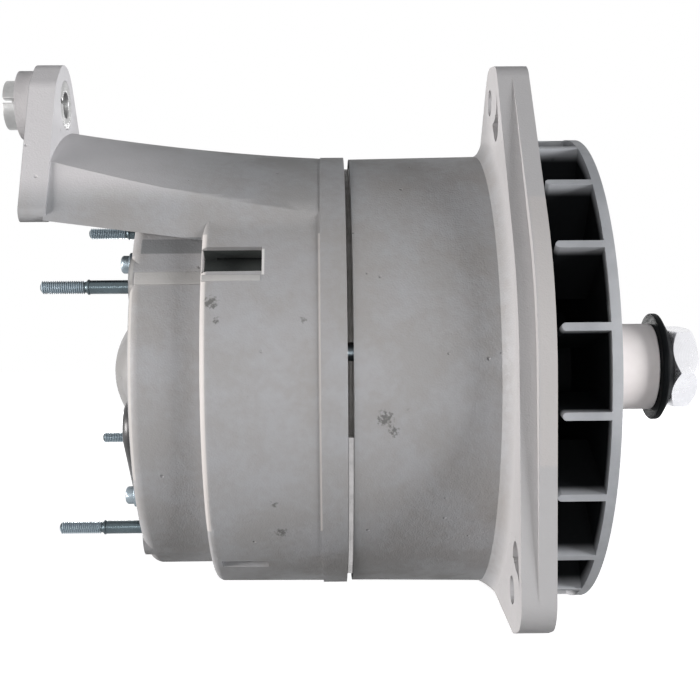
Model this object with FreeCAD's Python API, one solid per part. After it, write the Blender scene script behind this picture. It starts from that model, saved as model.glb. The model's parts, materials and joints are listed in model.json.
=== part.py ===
import FreeCAD, Part
import math
import os

# Belt-driven claw-pole alternator for a bus or truck engine, in millimetres.
# X runs along the shaft towards the drive end, Z is up and -Y is the near side.
# The origin is on the shaft axis, in the plane of the cover studs' shoulders.
# Angles about the shaft are in degrees from the near side (-Y) up towards +Z.

# Housings
BODY_R = 89.0
BODY_WALL = 4.0
BODY_DRAFT = 0.9
SEAM_GAP = 2.2
NECK_LEN = 27.25
REAR_BODY_LEN = 54.35
DRIVE_BODY_LEN = 58.5
STEP_R = 88.6
STEP_ROUND = 3.0
NECK_R = 80.8
NECK_WALL = 4.5
NECK_ROUND = 4.5
BAND_RISE = 0.8
BAND_LEN = 9.6
REAR_WALL = 5.0
SHOULDER_WALL = 8.0

# Drive-end flange and its two ears
FLANGE_THK = 12.5
FLANGE_R = 92.6
WEB_R = 100.0
WEB_FLARE = 4.5
RIB_R = 104.5
RIB_THK = 6.5
DRIVE_WALL = 6.5
EAR_RIM_REACH = 22.0
EAR_CORNER_R = 13.0
EAR_RECESS = 3.0
RECESS_TAPER = 0.7
EAR_RIM_WALL = 4.0
TOP_EAR_END_R = 14.0
TOP_EAR_DROP = 6.0
LOW_EAR_END_R = 15.6
EAR_BOSS_R = 12.9
EAR_SKEW_DEG = 45.5
TOP_EAR_FAR_R = 67.0
LOW_EAR_FAR_R = 86.0

# Mounting holes
PIVOT_R = 112.0
PIVOT_DEG = 74.4
ADJUSTER_R = 112.0
ADJUSTER_DEG = -45.9
BOLT_HOLE_R = 5.25

# Rear mounting arm, its ear and the sliding bushing
ARM_FACE_DEG = 19.3
ARM_FACE_REACH = 18.9
ARM_EDGE = 31.4
ARM_EDGE_DEG = 8.1
ARM_END_RISE = 11.3
ARM_MID_RISE = 4.0
ARM_FAR_Y = 8.0
ARM_UNDER_SLOPE = 12.0
ARM_SKIN = 7.0
EAR_SPAN = 171.4
REAR_EAR_THK = 10.4
REAR_EAR_END_R = 15.8
REAR_EAR_CORNER_R = 9.0
REAR_EAR_TOE_R = 4.0
REAR_EAR_HEEL_RISE = 12.0
REAR_BOSS_R = 13.6
REAR_BOSS_LEN = 7.2
BUSHING_R = 9.75
BUSHING_LEN = 23.2
BUSHING_SLOT = 1.6
BUSHING_FIT = 0.04

# Side windows of the rear housing: length, width, place and angle
WINDOW_LEN = 22.0
WINDOW_WIDTH = 10.5
WINDOW_DEG = 28.0
WINDOW_END = 32.0
SLOT_LEN = 18.0
SLOT_WIDTH = 5.7
SLOT_DEG = -58.0

# Studs for the air-intake cover
STUD_COUNT = 4
STUD_CIRCLE_R = 70.2
STUD_DEG = 27.64
STUD_R = 2.5
STUD_SHANK_R = 2.6
STUD_THREAD_LEN = 17.7
STUD_STANDOFF = 16.8
STUD_CHAMFER = 1.0
STUD_COLLAR_R = 2.9
STUD_COLLAR_LEN = 0.8
STUD_BOSS_R = 11.0
STUD_BOSS_DEPTH = 9.0

# Air openings
INTAKE_COUNT = 5
INTAKE_DEG = 0.0
INTAKE_PITCH = 30.0
INTAKE_IN_R = 37.0
INTAKE_OUT_R = 52.0
INTAKE_IN_ROUND = 4.5
INTAKE_OUT_ROUND = 6.5
OUTLET_COUNT = 8
OUTLET_IN_R = 49.5
OUTLET_OUT_R = 73.5
OUTLET_ROUND = 3.5
SPOKE_WIDTH = 11.0

# Through bolts
BOLT_COUNT = 4
BOLT_CIRCLE_R = 79.9
BOLT_DEG = 5.0
BOLT_R = 3.0
BOLT_HEAD_R = 5.0
BOLT_HEAD_LEN = 6.0
BOLT_BOSS_R = 5.4
BOLT_GRIP = 18.0
BOLT_CLEAR = 0.4

# Bearings
DRIVE_BEARING_BORE_R = 15.0
DRIVE_BEARING_R = 36.0
DRIVE_BEARING_WIDTH = 19.0
DRIVE_BALL_R = 6.15
DRIVE_HUB_WALL = 10.0
DRIVE_LIP = 2.0
REAR_BEARING_BORE_R = 10.0
REAR_BEARING_R = 23.5
REAR_BEARING_WIDTH = 14.0
REAR_BALL_R = 3.97
REAR_HUB_WALL = 3.0
BALL_COUNT = 8
BALL_CLEAR = 0.12
BEARING_LAND = 0.55
CAGE_RIM = 1.2
SHIELD_THK = 0.8
RETAINER_THK = 3.5
CAP_WALL = 1.5
CAP_DOME_R = 32.0
CAP_SKIRT = 0.7

# Stator
STATOR_BORE_R = 62.5
STATOR_LEN = 52.0
SLOT_COUNT = 36
SLOT_BOTTOM_R = 74.0
STATOR_SLOT_WIDTH = 5.4
SLOT_LINER = 0.2
OVERHANG = 16.0
OVERHANG_THK = 9.5
WINDING_CLEAR = 1.5

# Rotor
AIR_GAP = 0.6
POLE_PAIRS = 6
ROTOR_LEN = 66.0
POLE_DISC_THK = 15.0
POLE_DISC_R = 46.0
POLE_CORE_R = 27.0
CLAW_ROOT_WIDTH = 35.0
CLAW_TIP_WIDTH = 12.0
CLAW_TIP_THK = 5.0
CLAW_END_GAP = 4.0
BOBBIN_THK = 1.5
COIL_R = 43.0
CORE_SEAT_R = 17.0
SHAFT_SHOULDER_R = 19.0
RING_SEAT_R = 11.0
PULLEY_SEAT_R = 12.5
THREAD_R = 11.0
SOCKET_AF = 8.0
SOCKET_DEPTH = 9.0
SLIP_RING_R = 14.5
SLIP_RING_LEN = 8.0
SLIP_RING_GAP = 3.0
SLIP_RING_CLEAR = 3.0
SLIP_HUB_R = 12.8

# Fan, spacer sleeve, washer and nut on the shaft end
FAN_GAP = 3.4
FAN_DEPTH = 21.3
FAN_R = 96.5
FAN_PLATE_THK = 3.7
BLADE_COUNT = 19
BLADE_DEG = 9.24
BLADE_THK = 3.0
BLADE_IN_R = 60.0
FAN_HUB_R = 24.0
SPACER_R = 20.0
SLEEVE_R = 18.4
SLEEVE_LEN = 34.9
WASHER_R = 22.8
WASHER_THK = 6.5
WASHER_EDGE = 2.5
WASHER_TOP_R = 16.0
NUT_AF = 32.0
NUT_LEN = 10.2
NUT_DEG = -9.0

# Rectifier
SINK_THK = 4.0
SINK_IN_R = 32.0
SINK_OUT_R = 70.0
SINK_GAP = 6.0
SINK_STANDOFF = 6.6
SINK_START_DEG = -55.0
SINK_END_DEG = 235.0
DIODE_COUNT = 6
DIODE_R = 6.4
DIODE_LEN = 6.0
DIODE_LEAD_R = 0.8
DIODE_LEAD_LEN = 4.0
DIODE_CIRCLE_R = 50.0
SINK_SCREW_CIRCLE_R = 64.0
SINK_SCREW_DEG = 41.0
SINK_SCREW_R = 2.5
SINK_SCREW_COUNT = 4
SINK_BOSS_R = 4.6
SMALL_NUT_AF = 8.0
SMALL_NUT_LEN = 4.0
SMALL_HEAD_R = 3.5
SMALL_HEAD_LEN = 3.3
SINK_PAD_THK = 3.0
SMALL_SCREW_GRIP = 10.0
SCREW_CLEAR = 0.1

# Terminals
TERMINAL_CIRCLE_R = 50.0
POSITIVE_DEG = 150.0
NEGATIVE_DEG = 215.0
POWER_STUD_R = 4.0
POWER_STUD_LEN = 18.5
POWER_HEAD_R = 8.0
POWER_NUT_AF = 13.0
POWER_NUT_LEN = 4.0
POWER_WASHER_R = 8.2
POWER_WASHER_THK = 1.6
INSULATOR_WALL = 4.0
INSULATOR_FLANGE = 3.0
SIGNAL_DEGS = (174.0, 190.0)
SIGNAL_STUD_R = 2.5
SIGNAL_STUD_LEN = 15.0
SIGNAL_INSULATOR_R = 5.0
THREAD_RELIEF = 0.3

# Brush holder and regulator
BRUSH_LEN_X = 5.0
BRUSH_WIDTH = 8.0
BRUSH_LEN = 21.0
BRUSH_GAP = 0.3
BRUSH_FIT = 0.15
SPRING_R = 2.2
SPRING_BORE_R = 1.5
SPRING_LEN = 15.0
HOLDER_WALL = 3.5
HOLDER_RING_CLEAR = 2.5
HOLDER_FLANGE_THK = 2.4
MODULE_GAP = 1.0
MODULE_HEIGHT = 33.0
MODULE_NEAR_Y = -12.0
MODULE_FAR_Y = 20.0
MODULE_CORNER_R = 6.0
MODULE_LOBE_R = 12.0
MODULE_LOBE_CIRCLE_R = 42.2
MODULE_LOBE_DEG = -31.4
REGULATOR_THK = 5.0
REGULATOR_ROUND = 4.0
MODULE_SCREW_R = 2.0
MODULE_HEAD_R = 3.2
MODULE_SCREW_SPAN = 26.0
MODULE_SCREW_GRIP = 4.0

# Stations along the shaft
REAR_FACE_X = STUD_STANDOFF
STEP_X = REAR_FACE_X + NECK_LEN
SEAM_X = STEP_X + REAR_BODY_LEN
FLANGE_X = SEAM_X + DRIVE_BODY_LEN
DRIVE_FACE_X = FLANGE_X + FLANGE_THK
REAR_EAR_X = FLANGE_X - EAR_SPAN
REAR_EAR_BACK_X = REAR_EAR_X - REAR_EAR_THK
REAR_WALL_X = REAR_FACE_X + REAR_WALL
DRIVE_WALL_X = DRIVE_FACE_X - DRIVE_WALL
STATOR_X0 = SEAM_X - STATOR_LEN / 2
STATOR_X1 = SEAM_X + STATOR_LEN / 2
ROTOR_X0 = SEAM_X - ROTOR_LEN / 2
ROTOR_X1 = SEAM_X + ROTOR_LEN / 2
DRIVE_BEARING_X1 = DRIVE_FACE_X - DRIVE_LIP
DRIVE_BEARING_X0 = DRIVE_BEARING_X1 - DRIVE_BEARING_WIDTH
REAR_BEARING_X0 = REAR_FACE_X
REAR_BEARING_X1 = REAR_BEARING_X0 + REAR_BEARING_WIDTH
FAN_X0 = DRIVE_FACE_X + FAN_GAP
FAN_X1 = FAN_X0 + FAN_DEPTH
SLEEVE_X1 = FAN_X1 + SLEEVE_LEN
WASHER_X1 = SLEEVE_X1 + WASHER_THK
NUT_X1 = WASHER_X1 + NUT_LEN
STATOR_R = BODY_R - BODY_WALL
INNER_R = BODY_R - SHOULDER_WALL
NECK_INNER_R = NECK_R - NECK_WALL
REAR_HUB_R = REAR_BEARING_R + REAR_HUB_WALL
CAP_R = REAR_HUB_R + CAP_WALL
DRIVE_HUB_R = DRIVE_BEARING_R + DRIVE_HUB_WALL
ROTOR_R = STATOR_BORE_R - AIR_GAP
RETAINER_SCREW_R = DRIVE_BEARING_R + DRIVE_HUB_WALL / 2
NEGATIVE_SINK_X = REAR_WALL_X + SINK_STANDOFF
POSITIVE_SINK_X = NEGATIVE_SINK_X + SINK_THK + SINK_GAP
SINK_TOP_X = POSITIVE_SINK_X + SINK_THK
POWER_SHANK_R = POWER_STUD_R - THREAD_RELIEF
SIGNAL_SHANK_R = SIGNAL_STUD_R - THREAD_RELIEF
OVER = 1.0

ARM_FACE_R = PIVOT_R * math.cos(math.radians(PIVOT_DEG - ARM_FACE_DEG)) + ARM_FACE_REACH

AXIS = FreeCAD.Vector(1, 0, 0)
CENTRE = FreeCAD.Vector(0, 0, 0)


def vec(x, y, z):
    return FreeCAD.Vector(x, y, z)


def place(radius, degrees):
    """Y and Z of a point at this radius and angle about the shaft."""
    angle = math.radians(degrees)
    return -radius * math.cos(angle), radius * math.sin(angle)


def turn(shape, degrees):
    """A copy turned about the shaft, the near side moving up."""
    copy = shape.copy()
    copy.rotate(CENTRE, vec(-1, 0, 0), degrees)
    return copy


def rod(x0, x1, radius, y=0.0, z=0.0):
    return Part.makeCylinder(radius, x1 - x0, vec(x0, y, z), AXIS)


def rod_at(x0, x1, radius, circle_r, degrees):
    y, z = place(circle_r, degrees)
    return rod(x0, x1, radius, y, z)


def tube(x0, x1, outer_r, inner_r, y=0.0, z=0.0):
    return rod(x0, x1, outer_r, y, z).cut(rod(x0 - OVER, x1 + OVER, inner_r, y, z))


def turned(points):
    """A solid of revolution about the shaft from (x, radius) corners."""
    corners = [vec(x, 0, r) for x, r in points]
    wire = Part.makePolygon(corners + corners[:1])
    return Part.Face(wire).revolve(CENTRE, AXIS, 360)


def block(x0, x1, y0, y1, z0, z1):
    return Part.makeBox(x1 - x0, y1 - y0, z1 - z0, vec(x0, y0, z0))


def radial_block(x0, x1, r0, r1, width, degrees=0.0):
    """A block that stands out from the shaft, seen at this angle."""
    return turn(block(x0, x1, -r1, -r0, -width / 2, width / 2), degrees)


def around(shape, count, start=0.0, pitch=None):
    step = 360.0 / count if pitch is None else pitch
    return [turn(shape, start + i * step) for i in range(count)]


def joined(shapes):
    first = shapes[0]
    return first.multiFuse(list(shapes[1:])).removeSplitter()


def hexagon(x0, x1, across_flats, y=0.0, z=0.0, degrees=0.0):
    corner_r = across_flats / math.sqrt(3)
    corners = []
    for i in range(7):
        dy, dz = place(corner_r, degrees + 60 * i)
        corners.append(vec(x0, y + dy, z + dz))
    return Part.Face(Part.makePolygon(corners)).extrude(vec(x1 - x0, 0, 0))


def belt_face(x, circles):
    """The face inside a tight belt round circles (y, z, r), listed top, near, low, far."""
    edges = []
    normals = []
    count = len(circles)
    for i in range(count):
        y0, z0, r0 = circles[i]
        y1, z1, r1 = circles[(i + 1) % count]
        length = math.hypot(y1 - y0, z1 - z0)
        dy, dz = (y1 - y0) / length, (z1 - z0) / length
        along = (r0 - r1) / length
        across = math.sqrt(1 - along * along)
        normals.append((along * dy + across * dz, along * dz - across * dy))
    for i in range(count):
        y, z, r = circles[i]
        ny0, nz0 = normals[i - 1]
        ny1, nz1 = normals[i]
        my, mz = ny0 + ny1, nz0 + nz1
        size = math.hypot(my, mz)
        start = vec(x, y + r * ny0, z + r * nz0)
        middle = vec(x, y + r * my / size, z + r * mz / size)
        end = vec(x, y + r * ny1, z + r * nz1)
        edges.append(Part.Arc(start, middle, end).toShape())
        y2, z2, r2 = circles[(i + 1) % count]
        edges.append(Part.LineSegment(end, vec(x, y2 + r2 * ny1, z2 + r2 * nz1)).toShape())
    return Part.Face(Part.Wire(edges))


def belt_plate(x0, x1, circles):
    return belt_face(x0, circles).extrude(vec(x1 - x0, 0, 0))


def ear_corner(circle_r, degrees, skew, corner_r, reach, drop):
    """The rounded near corner of an ear, as a circle (y, z, r)."""
    y, z = place(circle_r, degrees)
    ny, nz = place(reach - corner_r, degrees + skew)
    ty, tz = place(drop, degrees + skew + math.copysign(90, skew))
    return y + ny + ty, z + nz + tz, corner_r


PIVOT_YZ = place(PIVOT_R, PIVOT_DEG)
ADJUSTER_YZ = place(ADJUSTER_R, ADJUSTER_DEG)
TOP_CORNER = ear_corner(PIVOT_R, PIVOT_DEG, -EAR_SKEW_DEG, EAR_CORNER_R, EAR_RIM_REACH, TOP_EAR_DROP)
LOW_CORNER = ear_corner(ADJUSTER_R, ADJUSTER_DEG, EAR_SKEW_DEG, EAR_CORNER_R, EAR_RIM_REACH, 0.0)


def flange_plate(x0, x1, web_r):
    """The near web with both ears, its edge a circle of web_r between them."""
    top_end = (*PIVOT_YZ, TOP_EAR_END_R)
    low_end = (*ADJUSTER_YZ, LOW_EAR_END_R)
    outline = [top_end, TOP_CORNER, (0, 0, web_r), LOW_CORNER, low_end, (0, 0, TOP_EAR_FAR_R)]
    web = belt_plate(x0, x1, outline)
    low_gusset = belt_plate(x0, x1, [LOW_CORNER, low_end, (0, 0, LOW_EAR_FAR_R)])
    return joined([web, low_gusset])


def ear_recess(corner, hole_yz, skew_deg):
    """The shallow pocket between an ear's bolt boss and its near rim."""
    y, z, r = corner
    ty, tz = place(r, skew_deg)
    pocket_r = r - EAR_RIM_WALL
    ends = [(y, z, pocket_r), (y + ty, z + tz, pocket_r * RECESS_TAPER)]
    pocket = belt_plate(FLANGE_X - OVER, FLANGE_X + EAR_RECESS, ends)
    return pocket.cut(rod(FLANGE_X - 2 * OVER, DRIVE_FACE_X, EAR_BOSS_R, *hole_yz))


def outlet_windows():
    """Air outlets between the spokes of the drive-end wall."""
    half = math.pi / OUTLET_COUNT
    side = SPOKE_WIDTH / 2 + OUTLET_ROUND
    middle_r = (OUTLET_IN_R + OUTLET_OUT_R) / 2
    corners = []
    for r, sign in ((OUTLET_IN_R, 1), (OUTLET_OUT_R, 1), (OUTLET_OUT_R, -1), (OUTLET_IN_R, -1)):
        centre_r = r + math.copysign(OUTLET_ROUND, middle_r - r)
        lean = half - math.asin(side / centre_r)
        y, z = place(centre_r, math.degrees(sign * lean))
        corners.append((y, z, OUTLET_ROUND))
    window = belt_plate(DRIVE_WALL_X - OVER, DRIVE_FACE_X + OVER, corners)
    return around(window, OUTLET_COUNT, 180.0 / OUTLET_COUNT)


def web_flare():
    """The curved foot that carries the body out to the near web."""
    foot_r = BODY_R + BODY_DRAFT
    reach = WEB_R - foot_r
    low = vec(FLANGE_X - WEB_FLARE, 0, foot_r)
    high = vec(FLANGE_X, 0, WEB_R)
    bend = math.sqrt(0.5)
    middle = vec(FLANGE_X - WEB_FLARE * (1 - bend), 0, foot_r + reach * (1 - bend))
    curve = Part.Arc(low, middle, high).toShape()
    face_line = Part.makePolygon([high, vec(FLANGE_X + OVER, 0, WEB_R), vec(FLANGE_X + OVER, 0, INNER_R),
                                  vec(FLANGE_X - WEB_FLARE, 0, INNER_R), low])
    ring = Part.Face(Part.Wire([curve] + face_line.Edges)).revolve(CENTRE, AXIS, 360)
    return ring.common(flange_plate(FLANGE_X - WEB_FLARE, FLANGE_X + OVER, WEB_R))


def drive_end_housing():
    x0 = SEAM_X + SEAM_GAP / 2
    edge_r = BODY_R + BODY_DRAFT
    shell = turned([(x0, 0), (x0, BODY_R), (FLANGE_X, edge_r), (FLANGE_X, FLANGE_R),
                    (DRIVE_FACE_X, FLANGE_R), (DRIVE_FACE_X, 0)])
    rib_x = DRIVE_FACE_X - RIB_THK
    plates = [flange_plate(FLANGE_X, rib_x, WEB_R), flange_plate(rib_x, DRIVE_FACE_X, RIB_R)]
    body = joined([shell, web_flare()] + plates)
    cavity = turned([(x0 - OVER, 0), (x0 - OVER, STATOR_R), (STATOR_X1, STATOR_R), (STATOR_X1, INNER_R),
                     (DRIVE_WALL_X, INNER_R), (DRIVE_WALL_X, 0)])
    body = body.cut(cavity)
    hub = rod(DRIVE_BEARING_X0, DRIVE_WALL_X + OVER, DRIVE_HUB_R)
    boss = rod_at(STATOR_X1, DRIVE_WALL_X + OVER, BOLT_BOSS_R, BOLT_CIRCLE_R, 0)
    bosses = around(boss, BOLT_COUNT, BOLT_DEG)
    body = joined([body, hub] + bosses)
    cuts = outlet_windows()
    cuts.append(rod(DRIVE_BEARING_X0 - OVER, DRIVE_BEARING_X1, DRIVE_BEARING_R))
    cuts.append(rod(DRIVE_BEARING_X1 - OVER, DRIVE_FACE_X + OVER, DRIVE_BEARING_R - DRIVE_LIP))
    for i in range(BOLT_COUNT):
        angle = BOLT_DEG + i * 360 / BOLT_COUNT
        cuts.append(rod_at(STATOR_X1 - OVER, DRIVE_FACE_X + OVER, BOLT_R + BOLT_CLEAR, BOLT_CIRCLE_R, angle))
        head_x = DRIVE_FACE_X - BOLT_HEAD_LEN
        cuts.append(rod_at(head_x, DRIVE_FACE_X + OVER, BOLT_HEAD_R + BOLT_CLEAR, BOLT_CIRCLE_R, angle))
        cuts.append(rod_at(DRIVE_BEARING_X0 - OVER, DRIVE_BEARING_X0 + SMALL_SCREW_GRIP, SINK_SCREW_R,
                           RETAINER_SCREW_R, angle))
    for hole in (PIVOT_YZ, ADJUSTER_YZ):
        cuts.append(rod(FLANGE_X - OVER, DRIVE_FACE_X + OVER, BOLT_HOLE_R, *hole))
    cuts.append(ear_recess(TOP_CORNER, PIVOT_YZ, PIVOT_DEG - EAR_SKEW_DEG - 90))
    cuts.append(ear_recess(LOW_CORNER, ADJUSTER_YZ, ADJUSTER_DEG + EAR_SKEW_DEG + 90))
    return body.cut(Part.makeCompound(cuts)).removeSplitter()


def arm_top(x):
    """Radius of the arm's upper surface, rising towards the ear."""
    length = SEAM_X - SEAM_GAP / 2 - REAR_EAR_X
    share = (SEAM_X - SEAM_GAP / 2 - x) / length
    bow = 4 * ARM_MID_RISE - ARM_END_RISE
    return BODY_R + bow * share + (ARM_END_RISE - bow) * share * share


def arm_edge(x, inset=0.0):
    """Y and Z of the near side's lower edge at this station, cut back from that side by inset."""
    normal_y, normal_z = place(1.0, ARM_FACE_DEG)
    face_r = ARM_FACE_R - inset
    low = ARM_EDGE - (x - REAR_EAR_X) * math.tan(math.radians(ARM_EDGE_DEG))
    return face_r * normal_y + low * normal_z, face_r * normal_z - low * normal_y


def arm_sides(x0, x1, inset):
    """The space between the arm's near and far sides, both cut back by inset."""
    normal_y, normal_z = place(1.0, ARM_FACE_DEG)
    face_r = ARM_FACE_R - inset
    high = PIVOT_R
    low_z = face_r * normal_z
    high_z = low_z - high * normal_y
    corners = [vec(x0, face_r * normal_y, low_z), vec(x0, ARM_FAR_Y - inset, low_z),
               vec(x0, ARM_FAR_Y - inset, high_z), vec(x0, face_r * normal_y + high * normal_z, high_z)]
    return Part.Face(Part.makePolygon(corners + corners[:1])).extrude(vec(x1 - x0, 0, 0))


def above_underside(x0, x1):
    """Everything above the arm's slanted underside."""
    slope = math.tan(math.radians(ARM_UNDER_SLOPE))
    corners = []
    for x, reach in ((x0, -PIVOT_R), (x1, -PIVOT_R), (x1, PIVOT_R), (x0, PIVOT_R)):
        low_y, low_z = arm_edge(x)
        corners.append(vec(x, low_y + reach, low_z + reach * slope))
    return Part.Face(Part.makePolygon(corners + corners[:1])).extrude(vec(0, 0, 2 * PIVOT_R))


def mounting_arm():
    """The curved top skin and two webs that carry the rear ear."""
    x1 = SEAM_X - SEAM_GAP / 2
    middle_x = (x1 + REAR_EAR_X) / 2
    start = vec(REAR_EAR_X - OVER, 0, arm_top(REAR_EAR_X - OVER))
    middle = vec(middle_x, 0, arm_top(middle_x))
    end = vec(x1, 0, arm_top(x1))
    curve = Part.Arc(start, middle, end).toShape()
    rest = Part.makePolygon([end, vec(x1, 0, 0), vec(REAR_EAR_X - OVER, 0, 0), start])
    barrel = Part.Face(Part.Wire([curve] + rest.Edges)).revolve(CENTRE, AXIS, 360)
    arm = barrel.common(arm_sides(REAR_EAR_X - OVER, x1, 0.0)).common(above_underside(REAR_EAR_X - OVER, x1))
    hollow_x0, hollow_x1 = REAR_EAR_X, REAR_FACE_X - ARM_SKIN
    roof = rod(hollow_x0, hollow_x1, arm_top(hollow_x1) - ARM_SKIN)
    return arm.cut(roof.common(arm_sides(hollow_x0, hollow_x1, ARM_SKIN)))


def rear_ear():
    """The rear ear plate with its bushing boss."""
    face_y, face_z = place(1.0, ARM_FACE_DEG)
    rim = ARM_FACE_R - REAR_EAR_CORNER_R
    along = PIVOT_YZ[0] * -face_z + PIVOT_YZ[1] * face_y
    corner = (rim * face_y - (along + REAR_EAR_TOE_R) * face_z,
              rim * face_z + (along + REAR_EAR_TOE_R) * face_y, REAR_EAR_CORNER_R)
    low_y, low_z = arm_edge(REAR_EAR_BACK_X, REAR_EAR_TOE_R)
    far_y = ARM_FAR_Y - REAR_EAR_TOE_R
    far_z = low_z + (far_y - low_y) * math.tan(math.radians(ARM_UNDER_SLOPE))
    toe = (low_y, low_z + REAR_EAR_TOE_R, REAR_EAR_TOE_R)
    heel = (far_y, far_z + REAR_EAR_HEEL_RISE, REAR_EAR_TOE_R)
    plate = belt_plate(REAR_EAR_BACK_X, REAR_EAR_X, [(*PIVOT_YZ, REAR_EAR_END_R), corner, toe, heel])
    boss = rod(REAR_EAR_BACK_X - REAR_BOSS_LEN, REAR_EAR_X, REAR_BOSS_R, *PIVOT_YZ)
    return joined([plate, boss])


def rear_shell():
    """The turned outside of the rear housing, with rounded step and rear edge."""
    x1 = SEAM_X - SEAM_GAP / 2
    band_x = x1 - BAND_LEN
    shell = turned([(REAR_FACE_X, 0), (REAR_FACE_X, NECK_R), (STEP_X, NECK_R), (STEP_X, STEP_R),
                    (band_x, BODY_R), (x1, BODY_R), (x1, 0)])
    rim = []
    for edge in shell.Edges:
        centre = edge.BoundBox
        if centre.XLength > 0.01:
            continue
        if abs(centre.XMin - REAR_FACE_X) < 0.01:
            rim.append(edge)
    shell = shell.makeFillet(NECK_ROUND, rim)
    step = [edge for edge in shell.Edges
            if edge.BoundBox.XLength < 0.01 and abs(edge.BoundBox.XMin - STEP_X) < 0.01
            and abs(edge.BoundBox.ZMax - STEP_R) < 0.01]
    shell = shell.makeFillet(STEP_ROUND, step)
    band = tube(band_x, x1, BODY_R + BAND_RISE, INNER_R)
    return shell, band


def intake_windows():
    ends = [(*place(INTAKE_IN_R, 0), INTAKE_IN_ROUND), (*place(INTAKE_OUT_R, 0), INTAKE_OUT_ROUND)]
    window = belt_plate(REAR_FACE_X - OVER, REAR_WALL_X + OVER, ends)
    return around(window, INTAKE_COUNT, INTAKE_DEG, INTAKE_PITCH)


def side_windows():
    end_x = SEAM_X - WINDOW_END
    window = radial_block(end_x - WINDOW_LEN, end_x, NECK_INNER_R, PIVOT_R, WINDOW_WIDTH, WINDOW_DEG)
    slot = radial_block(end_x - SLOT_LEN, end_x, NECK_INNER_R, PIVOT_R, SLOT_WIDTH, SLOT_DEG)
    return [window, slot]


def boss_ribs():
    """The stud bosses' outer strips, run on past the step and clear of the winding."""
    strip = rod_at(STEP_X, SEAM_X - WINDOW_END, STUD_BOSS_R, STUD_CIRCLE_R, 0)
    strip = strip.cut(rod(STEP_X - OVER, SEAM_X, SLOT_BOTTOM_R + WINDING_CLEAR))
    return around(strip, STUD_COUNT, STUD_DEG)


def rear_housing():
    shell, band = rear_shell()
    outside = [shell, band]
    stud_boss = rod_at(REAR_FACE_X, STEP_X + OVER, STUD_BOSS_R, STUD_CIRCLE_R, 0)
    outside += around(stud_boss, STUD_COUNT, STUD_DEG)
    outside.append(mounting_arm())
    outside.append(rear_ear())
    body = joined(outside)
    inner_step_x = STEP_X + REAR_WALL
    cavity = turned([(REAR_WALL_X, 0), (REAR_WALL_X, NECK_INNER_R), (inner_step_x, NECK_INNER_R),
                     (inner_step_x, INNER_R), (STATOR_X0, INNER_R), (STATOR_X0, STATOR_R),
                     (SEAM_X, STATOR_R), (SEAM_X, 0)])
    body = body.cut(cavity)
    inner = [rod(REAR_BEARING_X0, REAR_BEARING_X1, REAR_HUB_R)]
    inner += around(rod_at(REAR_FACE_X, REAR_FACE_X + STUD_BOSS_DEPTH, STUD_BOSS_R, STUD_CIRCLE_R, 0),
                    STUD_COUNT, STUD_DEG)
    inner += around(rod_at(REAR_FACE_X, NEGATIVE_SINK_X, SINK_BOSS_R, SINK_SCREW_CIRCLE_R, 0),
                    SINK_SCREW_COUNT, SINK_SCREW_DEG)
    boss_x = STATOR_X0 - BOLT_GRIP - BOLT_R
    inner += around(rod_at(boss_x, STATOR_X0, BOLT_BOSS_R, BOLT_CIRCLE_R, 0), BOLT_COUNT, BOLT_DEG)
    inner.append(rod_at(REAR_FACE_X, REAR_WALL_X + POWER_STUD_R, POWER_HEAD_R,
                        TERMINAL_CIRCLE_R, NEGATIVE_DEG))
    body = joined([body] + inner)
    cuts = intake_windows() + side_windows()
    cuts.append(rod(REAR_BEARING_X0 - OVER, REAR_BEARING_X1 + OVER, REAR_BEARING_R))
    cuts += around(rod_at(REAR_FACE_X - OVER, REAR_FACE_X + STUD_BOSS_DEPTH, STUD_SHANK_R, STUD_CIRCLE_R, 0),
                   STUD_COUNT, STUD_DEG)
    cuts += around(rod_at(REAR_FACE_X - OVER, NEGATIVE_SINK_X + OVER, SINK_SCREW_R + SCREW_CLEAR,
                          SINK_SCREW_CIRCLE_R, 0), SINK_SCREW_COUNT, SINK_SCREW_DEG)
    bolt_hole = rod_at(STATOR_X0 - BOLT_GRIP, STATOR_X0 + OVER, BOLT_R, BOLT_CIRCLE_R, 0)
    cuts += around(bolt_hole, BOLT_COUNT, BOLT_DEG)
    cuts.append(rod(REAR_EAR_BACK_X - REAR_BOSS_LEN - OVER, REAR_EAR_X + OVER,
                    BUSHING_R + BUSHING_FIT, *PIVOT_YZ))
    cuts.append(rod_at(REAR_FACE_X - OVER, REAR_WALL_X + OVER, POWER_STUD_R + INSULATOR_WALL,
                       TERMINAL_CIRCLE_R, POSITIVE_DEG))
    cuts.append(rod_at(REAR_FACE_X - OVER, REAR_WALL_X + POWER_STUD_R + OVER, POWER_SHANK_R,
                       TERMINAL_CIRCLE_R, NEGATIVE_DEG))
    for degrees in SIGNAL_DEGS:
        cuts.append(rod_at(REAR_FACE_X - OVER, REAR_WALL_X + OVER, SIGNAL_INSULATOR_R,
                           TERMINAL_CIRCLE_R, degrees))
    cuts.append(block(REAR_FACE_X - OVER, REAR_WALL_X + OVER, -HOLDER_HALF_Y, HOLDER_HALF_Y,
                      HOLDER_BOTTOM_Z, NECK_TOP_Z))
    for y in (-MODULE_SCREW_SPAN / 2, MODULE_SCREW_SPAN / 2):
        cuts.append(rod(REAR_FACE_X - OVER, REAR_FACE_X + MODULE_SCREW_GRIP, MODULE_SCREW_R,
                        y, MODULE_MIDDLE_Z))
    body = body.cut(Part.makeCompound(cuts))
    return joined([body] + boss_ribs())


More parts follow.
